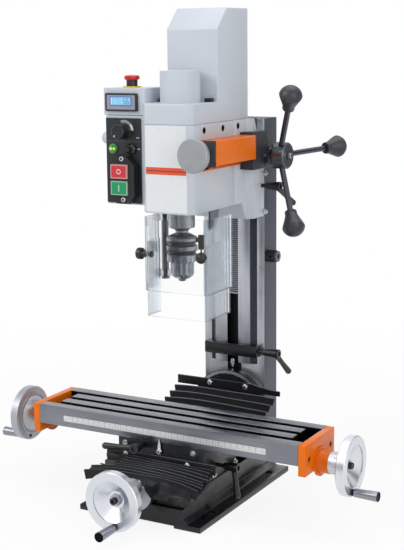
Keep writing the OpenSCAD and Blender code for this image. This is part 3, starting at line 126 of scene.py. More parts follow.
class Paint(Tree):
    """A material built up from a ground colour by masks of place, shading, brushing and relief."""

    def __init__(self, name, colour, rough=0.5, metal=0.0, **shader):
        self.m = bpy.data.materials.new(name)
        super().__init__(self.m)
        self.bsdf = self.node("BsdfPrincipled")
        self.node("OutputMaterial", {0: self.bsdf.outputs[0]})
        self.co = self.node("TexCoord").outputs["Object"]
        self.xyz = self.node("SeparateXYZ", {0: self.co})
        self.colour, self.rough, self.height = colour, rough, None
        self.feed("Metallic", metal)
        for key, value in shader.items():
            self.feed(key.replace("_", " "), value)

    def feed(self, key, value):
        """Gives one of the shader's inputs its value."""
        self.put(self.bsdf.inputs[key], value)

    def along(self, axis):
        """The coordinate on one axis, in metres."""
        return self.xyz.outputs["xyz".index(axis)]

    def from_axis(self, axis, centre):
        """The distance, in metres, from a line along one axis. Its centre is in mm."""
        legs = []
        for a, c in zip([a for a in "xyz" if a != axis], centre):
            d = self.math("SUBTRACT", self.along(a), c * MM)
            legs.append(self.math("MULTIPLY", d, d))
        return self.math("SQRT", self.math("ADD", *legs))

    def noise(self, scale, detail=3.0, stretch=None, rough=0.55, at=None):
        co = self.co if at is None else at
        if stretch:
            co = self.node("VectorMath", {0: co, 1: stretch}, operation="MULTIPLY").outputs[0]
        inputs = {"Vector": co, "Scale": scale, "Detail": detail, "Roughness": rough}
        return self.node("TexNoise", inputs).outputs[0]

    def within(self, soft=0.1, **limits):
        """1 inside the given ranges of x, y and z, in mm, and 0 outside. An end that is None is open."""
        mask = None
        for axis, (lo, hi) in limits.items():
            for edge, sign in ((lo, 1), (hi, -1)):
                if edge is None:
                    continue
                m = self.span(self.along(axis), (edge - sign * soft) * MM, (edge + sign * soft) * MM)
                mask = m if mask is None else self.math("MULTIPLY", mask, m)
        return mask

    def facing(self, axis, lo=0.5, hi=0.9):
        """1 on faces that look along an axis of the object."""
        normal = self.node("TexCoord").outputs["Normal"]
        dot = self.node("VectorMath", {0: normal, 1: axis}, operation="DOT_PRODUCT").outputs["Value"]
        return self.span(dot, lo, hi)

    def over(self, mask, colour, rough=None):
        """Another colour, and another roughness if one is given, where the mask is 1."""
        self.colour = self.node("Mix", {0: mask, 6: self.colour, 7: colour}, data_type="RGBA").outputs[2]
        if rough is not None:
            self.rough = self.node("Mix", {0: mask, 2: self.rough, 3: rough}).outputs[0]
        return self

    def shade(self, value, amount):
        """Lightens and darkens the colour by a noise value."""
        factor = self.span(value, *NOISE_RANGE, 1 - amount, 1 + amount)
        tint = self.node("CombineXYZ", {0: factor, 1: factor, 2: factor}).outputs[0]
        mix = self.node("Mix", {0: 1.0, 6: self.colour, 7: tint}, data_type="RGBA", blend_type="MULTIPLY")
        self.colour = mix.outputs[2]
        return self

    def roughen(self, value, amount):
        """Raises and lowers the roughness by a noise value."""
        self.rough = self.math("ADD", self.rough, self.span(value, *NOISE_RANGE, -amount, amount), clamp=True)
        return self

    def bump(self, value, depth):
        """Adds relief, depth in mm."""
        h = self.math("MULTIPLY", value, depth)
        self.height = h if self.height is None else self.math("ADD", self.height, h)
        return self

    def done(self):
        self.feed("Base Color", self.colour)
        self.feed("Roughness", self.rough)
        if self.height is not None:
            relief = self.node("Bump", {"Height": self.height, "Strength": 1.0, "Distance": MM})
            self.feed("Normal", relief.outputs[0])
        return self.m


def satin(name, colour, rough=0.38, spread=0.02, peel=0.03, **shader):
    """Sprayed paint: a little orange peel, soft patches and dust."""
    p = Paint(name, colour, rough, Specular_IOR_Level=0.4, **shader)
    p.shade(p.noise(9, 2), spread)
    p.shade(p.noise(700, 2), spread * 0.7)
    p.roughen(p.noise(40, 4), 0.06)
    return p.bump(p.noise(450, 2), peel)


def grain(name, colour, rough=0.5, spread=0.06, size=1400, depth=0.04, **shader):
    """Moulded plastic or rubber with a fine grain."""
    p = Paint(name, colour, rough, **shader)
    p.shade(p.noise(25, 3), spread)
    p.roughen(p.noise(120, 3), 0.05)
    return p.bump(p.noise(size, 2), depth)


def cast(name, colour, rough=0.42, spread=0.12, **shader):
    """Enamel over sand-cast iron: lumps, pits and scuffs."""
    p = Paint(name, colour, rough, Specular_IOR_Level=0.4, **shader)
    p.shade(p.noise(14, 4), spread)
    scuff = p.span(p.noise(160, 5, rough=0.7), 0.62, 0.72)
    p.over(p.math("MULTIPLY", scuff, 0.35), tuple(min(1, c * 2.2 + 0.012) for c in colour[:3]) + (1,))
    p.roughen(p.noise(60, 4), 0.1)
    p.bump(p.noise(170, 4), 0.16)
    return p.bump(p.noise(900, 2), 0.04)


def ground(name, colour, rough=0.34, along="x", spread=0.1, metal=1.0, fine=2600, **shader):
    """Ground or milled metal with fine lines along one axis."""
    p = Paint(name, colour, rough, metal, **shader)
    stretch = [1.0, 1.0, 1.0]
    stretch["xyz".index(along)] = 0.012
    brush = p.noise(fine, 2, tuple(stretch))
    p.shade(p.noise(11, 3), spread)
    p.shade(brush, spread * 0.9)
    p.roughen(p.noise(28, 3), 0.06)
    return p.bump(brush, 0.012)


def turned(name, colour, rough=0.22, spread=0.06, axis="x", centre=(0, 0), aniso=0.6, **shader):
    """Turned metal: fine rings round an axis, which stretch the reflections into wedges."""
    p = Paint(name, colour, rough, 1.0, Anisotropic=aniso, **shader)
    where = p.node("CombineXYZ", {0: p.from_axis(axis, centre), 1: p.along(axis)}).outputs[0]
    rings = p.noise(2600, 2, rough=0.5, at=where)
    p.shade(rings, spread)
    p.shade(p.noise(18, 2), 0.3 * spread)
    p.roughen(p.noise(24, 2), 0.02)
    p.bump(rings, 0.006)
    p.feed("Tangent", p.node("Tangent", direction_type="RADIAL", axis=axis.upper()).outputs[0])
    return p


# Geometry


class Piece:
    """One mesh built from several solids, measured in mm."""

    def __init__(self, name, body, slot, *mats):
        self.name, self.body, self.slot, self.mats = name, body, slot, mats
        self.bm = bmesh.new()

    def take(self, tmp, mat=0, at=None):
        """Adds a solid, moved by a matrix if one is given."""
        if at is not None:
            tmp.transform(at)
        bmesh.ops.recalc_face_normals(tmp, faces=tmp.faces)
        for f in tmp.faces:
            f.material_index = mat
        mesh = bpy.data.meshes.new("tmp")
        tmp.to_mesh(mesh)
        tmp.free()
        self.bm.from_mesh(mesh)
        bpy.data.meshes.remove(mesh)
        return self

    def box(self, x, y, z, r=0.3, mat=0, at=None):
        """A block between two limits on each axis, its edges rounded by r."""
        tmp = bmesh.new()
        bmesh.ops.create_cube(tmp, size=1)
        lo, hi = (Vector(corner) for corner in zip(x, y, z))
        for v in tmp.verts:
            v.co = Vector([lo[i] + (v.co[i] + 0.5) * (hi[i] - lo[i]) for i in range(3)])
        if r:
            bmesh.ops.bevel(tmp, geom=tmp.edges[:], offset=r, segments=2, profile=0.5, affect="EDGES",
                            clamp_overlap=True)
        return self.take(tmp, mat, at)

    def lathe(self, prof, at, axis, n=40, mat=0, hexed=()):
        """Turns points (radius, distance along the axis). Those whose number is in hexed follow a hexagon."""
        a = Vector(axis).normalized()
        u = a.orthogonal().normalized()
        v = a.cross(u)
        tmp = bmesh.new()
        rings = []
        for i, (r, h) in enumerate(prof):
            if r < 1e-6:
                rings.append([tmp.verts.new(Vector(at) + a * h)])
                continue
            ring = []
            for k in range(n):
                t = 2 * pi * k / n
                rr = r * cos(pi / 6) / cos(t % (pi / 3) - pi / 6) if i in hexed else r
                ring.append(tmp.verts.new(Vector(at) + a * h + (u * cos(t) + v * sin(t)) * rr))
            rings.append(ring)
        for p, q in zip(rings, rings[1:]):
            for k in range(n):
                j = (k + 1) % n
                face = [p[k % len(p)], p[j % len(p)], q[j % len(q)], q[k % len(q)]]
                face = list(dict.fromkeys(face))
                if len(face) > 2:
                    tmp.faces.new(face)
        return self.take(tmp, mat)

    def plate(self, points, axis, lo, hi, r=0.0, mat=0, at=None):
        """An outline in the two other axes, thick from lo to hi along the axis."""
        tmp = bmesh.new()
        i = "xyz".index(axis)
        rings = []
        for h in (lo, hi):
            ring = []
            for p in points:
                co = list(p)
                co.insert(i, h)
                ring.append(tmp.verts.new(co))
            rings.append(ring)
            tmp.faces.new(ring)
        a, b = rings
        for k in range(len(points)):
            j = (k + 1) % len(points)
            tmp.faces.new([a[k], a[j], b[j], b[k]])
        if r:
            bmesh.ops.bevel(tmp, geom=tmp.edges[:], offset=r, segments=2, affect="EDGES", clamp_overlap=True)
        return self.take(tmp, mat, at)

    def text(self, string, size, at, mat=0, raised=0.05):
        """Flat figures in the XZ plane, read from the front, placed by a matrix."""
        curve = bpy.data.curves.new("tmp", "FONT")
        curve.body, curve.size, curve.align_x, curve.align_y = string, size, "CENTER", "CENTER"
        curve.extrude, curve.resolution_u = raised, 2
        o = bpy.data.objects.new("tmp", curve)
        scene.collection.objects.link(o)
        bpy.context.view_layer.update()
        mesh = bpy.data.meshes.new_from_object(o)
        tmp = bmesh.new()
        tmp.from_mesh(mesh)
        bpy.data.objects.remove(o)
        bpy.data.curves.remove(curve)
        bpy.data.meshes.remove(mesh)
        return self.take(tmp, mat, at @ Matrix.Rotation(pi / 2, 4, "X"))

    def screw(self, at, axis, d, h, mat=0, dark=1, washer=0):
        """A cap screw with a hexagon socket, whose floor is painted dark as shade, on a washer if one's
        diameter is given.
        """
        if washer:
            rim = washer / 2
            self.lathe([(0, 0), (rim, 0), (rim, 0.9), (rim - 0.3, 1.1), (0, 1.1)], at, axis, 24, mat)
        r, key, floor = d / 2, d * 0.27, h * 0.5
        head = [(0, 0), (r, 0), (r, h - 0.4), (r - 0.4, h), (key, h), (key, floor)]
        self.lathe(head, at, axis, 24, mat, (4, 5))
        return self.lathe([(key, floor + 0.02), (0, floor)], at, axis, 24, dark, (0,))

    def done(self, angle=35, ride=True):
        """Turns mm into metres and makes the object."""
        self.bm.transform(Matrix.Scale(MM, 4))
        return self.make(angle, ride)

    def make(self, angle, ride=True):
        """The object, smooth but for edges that turn by more than the angle."""
        for f in self.bm.faces:
            f.smooth = True
        for e in self.bm.edges:
            if len(e.link_faces) == 2 and e.calc_face_angle(0) > radians(angle):
                e.smooth = False
        mesh = bpy.data.meshes.new(self.name)
        self.bm.to_mesh(mesh)
        self.bm.free()
        for m in self.mats:
            mesh.materials.append(m)
        o = bpy.data.objects.new(self.name, mesh)
        scene.collection.objects.link(o)
        if ride:
            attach(o, self.body)
        return o


def arc(cx, cy, r, a0, a1, n=12):
    """Points on a circle between two angles in degrees."""
    angles = [radians(a0 + (a1 - a0) * k / n) for k in range(n + 1)]
    return [(cx + r * cos(a), cy + r * sin(a)) for a in angles]


def band(cx, cy, outer, inner, a0, a1, n):
    """The outline of a curved strip between two radii."""
    return arc(cx, cy, outer, a0, a1, n) + arc(cx, cy, inner, a1, a0, n)


def rounded(x0, x1, y0, y1, r, n=4):
    """The outline of a rectangle with round corners."""
    return (arc(x1 - r, y1 - r, r, 0, 90, n) + arc(x0 + r, y1 - r, r, 90, 180, n)
            + arc(x0 + r, y0 + r, r, 180, 270, n) + arc(x1 - r, y0 + r, r, 270, 360, n))


def coat(mat, *names):
    """A CAD node that keeps its shape gets its material."""
    for name in names:
        o = nodes[name]
        o.data.materials.clear()
        o.data.materials.append(mat)


def soften(name, width, mat, body, slot, shortest=9.0, segments=2):
    """Stands a copy whose longer sharp edges are rounded in for a CAD node."""
    piece = Piece(name + "_finish", body, slot, mat)
    bm = piece.bm
    bm.from_mesh(nodes[name].data)
    bmesh.ops.remove_doubles(bm, verts=bm.verts, dist=1e-5)
    bmesh.ops.dissolve_limit(bm, angle_limit=radians(0.6), verts=bm.verts[:], edges=bm.edges[:])
    sharp = [e for e in bm.edges if len(e.link_faces) == 2 and e.calc_length() > shortest * MM
             and e.calc_face_angle(0) > radians(28)]
    bmesh.ops.bevel(bm, geom=sharp, offset=width * MM, segments=segments, profile=0.5, affect="EDGES",
                    clamp_overlap=False)
    for f in bm.faces:
        f.material_index = 0
    o = piece.make(30)
    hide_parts(name)


# Colours and materials that several pieces share

WHITE = linear(199, 206, 215)
ORANGE = linear(232, 112, 8)
BRONZE = linear(176, 132, 66)
SHADED_WHEEL_GREY = linear(170, 174, 181)

steel = ground("screw_steel", linear(206, 209, 214), 0.28, "z", 0.05).done()
socket = grain("socket_dark", linear(24, 24, 26), 0.6).done()
black_steel = ground("black_steel", linear(86, 89, 96), 0.3, "z", 0.08).done()
black_plastic = grain("black_plastic", linear(22, 23, 26), 0.33).done()

# Foot, slides and column

cast_black = cast("black_casting", linear(19, 20, 25), 0.3).done()
for name, body in (("saddle", "saddle"), ("stop_collar", "stop")):
    soften(name, 1.0, cast_black, body, "cast_black")
p = cast("foot_casting", linear(17, 18, 23), 0.26)
flange = p.within(y=(None, -159.3))
p.over(flange, linear(176, 179, 184), 0.32)
p.feed("Metallic", flange)
soften("base", 1.0, p.done(), "base", "cast_black")
case_paint = cast("gear_case_paint", linear(45, 47, 52), 0.5).done()
soften("gear_case", 0.8, case_paint, "head", "cast_black", 6)
coat(ground("lead_steel", linear(165, 168, 173), 0.26, "x").done(), "tilt_pivot", "x_lead_screw",
     "y_lead_screw", "spindle_bearings", "pinion_shaft", "motor_pulley")
coat(steel, "gib_screws")
p = satin("boss_black", linear(26, 27, 30), 0.35)
shaft_end = p.within(0.3, x=(73.6, None))
p.over(shaft_end, linear(104, 107, 112), 0.4)
coat(p.done(), "spring_boss")
coat(ground("bronze", BRONZE, 0.3, "x").done(), "lead_nuts")
p = ground("wheel_bronze", BRONZE, 0.3, "x")
dogs = p.within(x=(66.8, None))
coat(p.over(dogs, linear(120, 123, 128), 0.28).done(), "worm_wheel")

# The column's ways are ground, its sides and back are painted, and the groove for the rack is painted dark as
# shade
p = ground("column_iron", linear(186, 189, 196), 0.32, "z", 0.12, 0.85, 1500)
back = p.within(y=(151, None))
for painted in (p.facing((1, 0, 0), 0.85, 0.95), p.facing((-1, 0, 0), 0.85, 0.95), back):
    p.over(painted, linear(92, 95, 105), 0.55)
groove = p.within(x=(-13, 13), y=(145.2, None))
p.over(groove, linear(26, 27, 30), 0.45)
soften("column", 0.7, p.done(), "column", "slide_grey")
p = ground("rack_steel", linear(22, 23, 26), 0.4, "x", 0.12)
tips = p.facing((0, -1, 0), 0.9, 0.97)
coat(p.over(tips, linear(150, 154, 161), 0.35).done(), "rack")

# Table, with painted shade inside its slots

p = ground("table_iron", linear(130, 133, 140), 0.33, "x", 0.12, 1.0, 1700)
slot_shade = p.math("MULTIPLY", p.within(y=(-94, 9.2)), p.within(z=(115, 131.9)))
p.over(slot_shade, linear(24, 25, 29), 0.45)
soften("table", 0.6, p.done(), "table", "table_steel")
p = satin("orange_enamel", ORANGE, 0.3, 0.02, 0.05)
p.feed("Specular IOR Level", 0.25)
orange = p.done()
soften("end_plates", 1.0, orange, "table", "orange_paint", 8)

# Handwheels and dials

WHEEL_LOOK = dict(colour=linear(219, 222, 228), rough=0.29, spread=0.08)
DIAL_LOOK = dict(colour=linear(196, 199, 205), rough=0.36, spread=0.05)
LEFT_WHEEL = -260  # x, mm: the left wheel lies beyond it, seen from behind; its metal is painted greyer and less metallic there, as shade
LEFT_RIM = -275.0  # x, mm: the face of the left wheel's rim that looks to the table


def wheel_finish(name, axis, centre):
    """Bright turned metal with a duller nut and a dark screw end in the middle."""
    p = turned(name, axis=axis, centre=centre, **WHEEL_LOOK)
    radius = p.from_axis(axis, centre)
    p.over(p.span(radius, 8.8 * MM, 8.6 * MM), linear(168, 171, 177), 0.3)
    return p.over(p.span(radius, 5.4 * MM, 5.2 * MM), linear(62, 64, 70), 0.35)


def grip_finish(name, axis, cap, neck):
    """Grey metal with a black plug in the end and a dark groove at the neck."""
    p = ground(name + "_metal", linear(146, 149, 156), 0.34, "z", 0.05)
    ends = (cap - 1.0, None) if cap > neck else (None, cap + 1.0)
    groove = (neck, neck + 2.6) if cap > neck else (neck - 2.6, neck)
    for limits in (ends, groove):
        p.over(p.within(0.15, **{axis: limits}), linear(24, 25, 28), 0.5)
    coat(p.done(), name)


p = wheel_finish("wheel_metal_x", "x", TABLE_SCREW)
# The left wheel is the same metal, painted greyer and less metallic as shade
p.over(p.within(x=(None, LEFT_WHEEL)), SHADED_WHEEL_GREY, 0.34)
p.feed("Metallic", p.span(p.along("x"), (LEFT_WHEEL - 2) * MM, (LEFT_WHEEL + 2) * MM, 0.6, 1.0))
coat(p.done(), "x_wheels")
coat(turned("dial_metal_x", axis="x", centre=TABLE_SCREW, **DIAL_LOOK).done(), "x_dial")
coat(wheel_finish("wheel_metal_y", "y", CROSS_SCREW).done(), "y_wheel")
coat(turned("dial_metal_y", axis="y", centre=CROSS_SCREW, **DIAL_LOOK).done(), "y_dial")

# The cone of the web behind the left wheel, painted in the same shaded grey, with the rings in which it ends,
# and the end of the crank pin
p = turned("wheel_back_x", axis="x", centre=TABLE_SCREW, colour=SHADED_WHEEL_GREY, rough=0.34)
p.feed("Metallic", 0.75)
web = Piece("wheel_back_left", "table_screw", "aluminium", p.done())
web.lathe([(34.6, -0.3), (34.6, 2.2), (33.8, 2.8), (31.9, 2.8), (31.3, 1.8), (29.8, 1.8), (28.6, 3.6),
           (19, 13.5), (17, 14.5), (17, 16.5), (14, 16.6)], (LEFT_RIM, *TABLE_SCREW), RIGHT, 56)
web.done()
pin = Piece("crank_pin_end", "table_screw", "black_plastic", socket)
lo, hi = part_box("grip_left")
pin_y, pin_z = (lo.y + hi.y) / 2 / MM, (lo.z + hi.z) / 2 / MM
pin.lathe([(3.6, -0.2), (3.6, 0.1), (0, 0.1)], (LEFT_RIM, pin_y, pin_z), RIGHT, 24)
pin.done()

grip_finish("grip_right", "x", 333.5, 294.3)
grip_finish("grip_left", "x", -327.5, -288.3)
grip_finish("grip_front", "y", -271.0, -231.8)

# Head, with painted shade inside three holes in its right side

p = satin("white_enamel", WHITE, 0.34, 0.015, 0.03)
for y in (-26.8, 32.1, 82):
    # Near black inside each hole, as painted shade
    hole_shade = p.within(x=(30, 43.2), y=(y - 5.3, y + 5.3), z=(562, 574))
    p.over(hole_shade, linear(20, 21, 23), 0.6)
white = p.done()
soften("head_body", 1.6, white, "head", "white_paint")
soften("head_slide", 1.6, white, "head", "white_paint")
soften("head_cover", 2.0, white, "head", "white_paint", 12, 3)
soften("feed_cover", 2.2, orange, "head", "orange_paint", 6, 3)
p = satin("box_enamel", WHITE, 0.34, 0.015, 0.03)
stop_collar = p.within(0.05, z=(630.2, None))
p.over(stop_collar, linear(226, 190, 40))
soften("control_box", 2.2, p.done(), "head", "white_paint", 12, 3)
p = Paint("dial_casting", linear(160, 163, 168), 0.45, 0.6)
p.shade(p.noise(1500, 2), 0.22).shade(p.noise(60, 3), 0.06)
shaft = p.within(y=(-70, None))
p.over(shaft, linear(140, 142, 146), 0.3)
coat(p.bump(p.noise(1500, 2), 0.08).done(), "fine_feed")
coat(ground("hub_steel", linear(92, 95, 102), 0.32, "x", 0.08).done(), "clutch_hub")
coat(black_steel, "feed_spokes")
coat(grain("knob_plastic", linear(44, 46, 53), 0.4, 0.04, 900).done(), "feed_knobs")
coat(black_plastic, "x_lock_lever", "y_lock_lever", "stop_lever", "head_lock_lever", "speed_knob",
     "direction_switch", "switch_frame", "guard_screw", "guard_handle")

# Chuck: turned steel, with streaks along its axis for fine knurling that are also painted reflections, and
# dark bands at its grooves, painted shade that is not metal
p = turned("chuck_steel", linear(168, 171, 177), 0.26, axis="z", centre=CHUCK, aniso=0.5)
bright = 1.0
for z0, z1 in ((380.0, 386.8), (394.0, 400.8), (408.0, 410.5)):
    black = p.within(0.3, z=(z0, z1))
    p.over(black, linear(14, 15, 18), 0.3)
    bright = p.math("SUBTRACT", bright, black)
p.feed("Metallic", bright)
# Streaks along the axis: knurling, and painted reflections
p.shade(p.noise(380, 2, (1.0, 1.0, 0.02)), 0.45)
coat(p.done(), "spindle", "chuck_body", "chuck_sleeve", "chuck_jaws")

p = turned("post_steel", linear(120, 123, 128), 0.3, axis="z", centre=GUARD_POST, aniso=0.3)
coat(p.done(), "guard_post")
coat(satin("motor_enamel", linear(44, 45, 49), 0.4).done(), "motor")
coat(grain("belt_rubber", linear(30, 30, 32), 0.6).done(), "drive_belt")

# Clear guard: nearly invisible seen straight on, with painted reflections that make it pale at its cut edges
# and grey at its bends

p = Paint("clear_plastic", linear(236, 241, 246), 0.04, 1.0)
edge = p.math("MAXIMUM", p.facing((0, 0, 1)), p.facing((0, 0, -1)))
edge = p.math("MAXIMUM", edge, p.facing((0, 1, 0)))
p.over(edge, linear(196, 206, 216))
# The bends are painted grey, as reflections
for x in ((None, -40.5), (57.0, None)):
    bend = p.within(0.8, x=x, y=(None, -52.5))
    p.over(bend, linear(150, 160, 172), 0.1)
    edge = p.math("MAXIMUM", edge, p.math("MULTIPLY", bend, 0.8))
gloss = p.node("Fresnel", {"IOR": 1.5}).outputs[0]
veil = p.span(gloss, 0.045, 0.6, 0.012, 0.75)
p.feed("Alpha", p.math("MAXIMUM", veil, p.math("MULTIPLY", edge, 0.5)))
p.shade(p.noise(30, 3), 0.03).roughen(p.noise(60, 3), 0.02)
coat(p.done(), "guard_outer", "guard_inner")

# Controls

coat(grain("panel_black", linear(29, 31, 36), 0.42, 0.05, 1200).done(), "control_panel")
coat(grain("bezel", linear(34, 36, 42), 0.35).done(), "display")
p = grain("red_button", linear(196, 22, 30), 0.28, 0.02, 1400, 0.01)
stem = p.within(0.1, z=(None, 641.2))
p.over(stem, linear(30, 30, 33), 0.35)
coat(p.done(), "estop_button")
for name, colour in (("stop_button", linear(206, 48, 58)), ("start_button", linear(12, 150, 92))):
    p = grain(name + "_plastic", colour, 0.25, 0.04)
    lo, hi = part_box(name)
    face = p.within(0.1, x=(lo.x / MM + 1.5, hi.x / MM - 1.5), z=(lo.z / MM + 1.4, hi.z / MM - 1.4))
    rim = p.math("SUBTRACT", 1.0, face)
    coat(p.over(rim, tuple(0.45 * c + 0.32 for c in colour[:3]) + (1,)).done(), name)
p = Paint("lamp_green", linear(20, 140, 60), 0.2, Coat_Weight=0.5)
p.shade(p.noise(500, 2), 0.1)
coat(p.done(), "power_lamp")

# Bellows


def rubber_sheet(name, top_highlight):
    """Black rubber, with a painted highlight on faces that look up, which lights the ridges of the folds."""
    p = grain(name, linear(13, 14, 17), 0.42, 0.12, 500, 0.08, Specular_IOR_Level=0.3)
    p.over(p.facing((0, 0, 1), 0.8, 0.95), top_highlight, 0.4)
    return p.bump(p.noise(60, 3), 0.35).done()


# The lighter colour given to each rubber is a painted highlight on faces that look up
rubber = rubber_sheet("bellows_rubber", linear(98, 101, 108))
flap_rubber = rubber_sheet("flap_rubber", linear(30, 31, 35))

# How many folds a cover has, and where in each one its ridge begins and ends
FRONT, REAR = (8, 0.34, 0.48), (7, 0.12, 0.24)


def pleat(t, rise, fall):
    """A fold's height: 0 in the valley, 1 on its narrow flat ridge."""
    t = t % 1.0
    return min(1.0, t / rise, (1 - t) / (1 - fall))


def fold_rows(folds, rise, fall):
    """Where along a cover its rows of points lie, from 0 to 1."""
    steps = (0, rise / 2, rise, fall, (1 + fall) / 2)
    return [(k + t) / folds for k in range(folds) for t in steps] + [1.0]


def ramp(value, lo, hi):
    """0 below lo, 1 above hi, and a straight line between."""
    return min(1.0, max(0.0, (value - lo) / (hi - lo)))


def sheet(name, point, across, rows, thick, body, mat=rubber):
    """A rubber sheet from a function of across (-1 to 1) and along (0 to 1), with a little thickness."""
    piece = Piece(name, body, "black_rubber", mat, steel, socket)
    tmp = bmesh.new()
    grid = [[tmp.verts.new(point(-1 + 2 * i / across, v)) for i in range(across + 1)] for v in rows]
    for a, b in zip(grid, grid[1:]):
        for i in range(across):
            tmp.faces.new([a[i], a[i + 1], b[i + 1], b[i]])
    bmesh.ops.recalc_face_normals(tmp, faces=tmp.faces)
    bmesh.ops.solidify(tmp, geom=tmp.faces[:], thickness=thick)
    return piece.take(tmp)


def under_lever(x, y):
    """The height, in mm, over which the table's clamping lever sweeps at its lower limit."""
    return 58.6 + 0.7 * max(0.0, x + 72) + 1.6 * max(0.0, abs(y + 117.5) - 8.5)


def front_point(u, v):
    """The front cover falls towards the foot and sags at its sides, and its folds end in uneven teeth."""
    s = abs(u)
    ridge = pleat(v * FRONT[0], *FRONT[1:])
    tooth = 2.5 * sin(2.4 * int(v * FRONT[0]) + (1 if u > 0 else 3))
    side = 87 + (5 if u > 0 else 12) * v + (4.5 + tooth) * ridge
    z = 73 - 9 * v - (3 + 9 * v) * s ** 2.2 + (8 + 4 * s) * (ridge - 0.6)
    x, y, z = u * side, -97.5 - 51 * v + 1.5 * s * sin(5 * v + u), z - 0.8 * sin(4 * u + 9 * v)
    return Vector((x, y, min(z, under_lever(x, y) + 0.12 * (z - 60))))


def flap_point(u, v):
    """It lies on the flange, hangs over its front corners and sides, and falls beside it to the foot."""
    x = u * (84 + 2 * v)
    s = abs(u)
    bend, drop = ramp(v, 0, 0.8), ramp(v, 0.8, 1)
    off_dial, corner = ramp(abs(x), 18.6, 21.5), ramp(abs(x), 19, 32)
    over_side, beside = ramp(abs(x), 31.8, 36), ramp(abs(x), 37, 50)
    rear = 64.5 - 9 * s ** 2
    ridge_z = rear - 12 * over_side * ramp(bend, 0, 0.42) - 7 * beside * bend
    ridge_z += 2.2 * beside * sin(15 * s + 5 * v) * bend + 0.7 * off_dial * (1 + sin(11 * s - 9 * v)) * bend
    low = 62.2 - 15 * corner - 5 * beside - 2 * s
    reach = 25 + 3.6 * off_dial - 16 * beside
    return Vector((x, -147.5 - reach * (bend * 0.96 + 0.04 * drop), ridge_z + (low - ridge_z) * drop))


def rear_point(u, v):
    """The rear cover climbs to the column, each fold a little narrower, and stays under its strip."""
    s = abs(u)
    ridge = pleat(v * REAR[0], *REAR[1:])
    step = int(v * REAR[0]) / REAR[0]
    side = 93 - 3 * step + 2.5 * ridge
    z = 88 + 45 * v + 10 * (ridge - 0.6) - (1 + 3 * step) * s ** 2.4 + 0.9 * sin(3 * u + 5 * step)
    return Vector((u * side, 12 + 112.2 * v, min(z, 139)))


# The front cover, with the bar and the screws that hold it to the saddle
front = sheet("front_bellows", front_point, 40, fold_rows(*FRONT), 0.7, "saddle")
front.box((-95, 95), (-96.5, -93.4), (66, 81), 0.6)
for x, z in ((-60, 76), (48, 74)):
    front.screw((x, -96.5, z), TO_FRONT, 6.5, 3.2, 1, 2, 9)
front = front.done(24, ride=False)
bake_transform(front)
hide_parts("bellows_front")

# Its end, which stays on the foot's flange under a screw
flap = sheet("front_flap", flap_point, 84, [k / 10 for k in range(11)], 0.9, "base", flap_rubber)
flap.screw((5.8, -168.2, 64.6), (0, -0.12, 1), 7, 2.6, 1, 2, 9.5)
flap.done(50)

# The rear cover, and the strip that holds its end to the foot's tilt disc
rear = sheet("rear_bellows", rear_point, 36, fold_rows(*REAR), 0.8, "saddle")
rear = rear.done(24, ride=False)
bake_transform(rear)
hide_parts("bellows_rear")
strip = Piece("rear_strip", "base", "black_rubber", rubber, steel, socket)
strip_outline = [(-95, 129), (95, 129), (95, 137.2), (78, 137.6), (42, 143.5), (-95, 143.5)]
strip.plate(strip_outline, "y", 124.7, 127.8, 0.5)
for x in (-33, 33):
    strip.screw((x, 124.7, 137.4), TO_FRONT, 6.5, 3.2, 1, 2, 9.5)
strip.done()

# Plates, pointers and screws

label_white = satin("label_white", linear(226, 229, 232), 0.3, 0.01, 0.01).done()
label_orange = satin("label_orange", linear(226, 88, 52), 0.35, 0.02, 0.01).done()
label_ink = satin("label_ink", linear(52, 54, 58), 0.4, 0.02, 0.01).done()
label = Piece("front_label", "head", "white_paint", label_white, label_orange, label_ink)
half = 34.4  # width of the stripe and of the line in it, from the middle
label.plate(rounded(-35, 35, 448.5, 576, 2.5), "y", -65.35, -65.0)
label.plate(rounded(-half, half, 504.2, 515, 0.4, 2), "y", -65.4, -65.1, mat=1)
label.plate(rounded(-half, half, 509, 510.2, 0.2, 2), "y", -65.44, -65.1, mat=2)
label.done()

# A line every 5 mm and a figure every 10 mm, counted from the middle to both sides
rule_metal = ground("rule_metal", linear(214, 215, 217), 0.35, "x", 0.03, 0.6).done()
ruler = Piece("rule_strip", "table", "aluminium", rule_metal, label_ink, steel)
rule_middle = 0.9
ruler.plate(rounded(-175.5, 177.3, 110.9, 119.9, 0.8, 2), "y", -95.35, -94.95)
for k in range(-32, 33):
    x, length = rule_middle + k * 5, 4.4 if k % 2 == 0 else 2.8
    ruler.box((x - 0.17, x + 0.17), (-95.42, -95.3), (111.3, 111.3 + length), 0, 1)
for k in range(-16, 17):
    ruler.text(str(abs(k)), 3.0, Matrix.Translation((rule_middle + k * 10, -95.36, 117.6)), 1, 0.04)
for x in (-172, 173.8):
    ruler.lathe([(1.7, 0), (1.7, 0.5), (1.2, 0.9), (0, 1.0)], (x, -95.3, 115.4), TO_FRONT, 20, 2)
ruler.done()

# The pointer below the rule, with its screw
marks = Piece("pointers", "saddle", "steel", steel, socket)
marks.plate([(-2.6, 84), (2.6, 84), (2.6, 97), (0, 109.5), (-2.6, 97)], "y", -97.2, -96.2, 0.2)
marks.screw((0, -96.6, 89), TO_FRONT, 7, 3.4, 0, 1, 9)
marks.done()

# A line every 5 degrees, longer every 15
scale_metal = ground("scale_metal", linear(196, 198, 201), 0.3, "x", 0.05).done()
tilt = Piece("tilt_scale", "base", "steel", scale_metal, label_ink)
tilt.plate(band(0, TILT_Z, 65.4, 60.6, 38, 142, 40), "y", 127.5, 128.1)
for d in range(-45, 46, 5):
    at = Matrix.Translation((0, 0, TILT_Z)) @ Matrix.Rotation(radians(d), 4, "Y")
    tilt.box((-0.2, 0.2), (127.42, 127.6), (61, 65 if d % 15 == 0 else 63.6), 0, 1, at)
tilt.done()

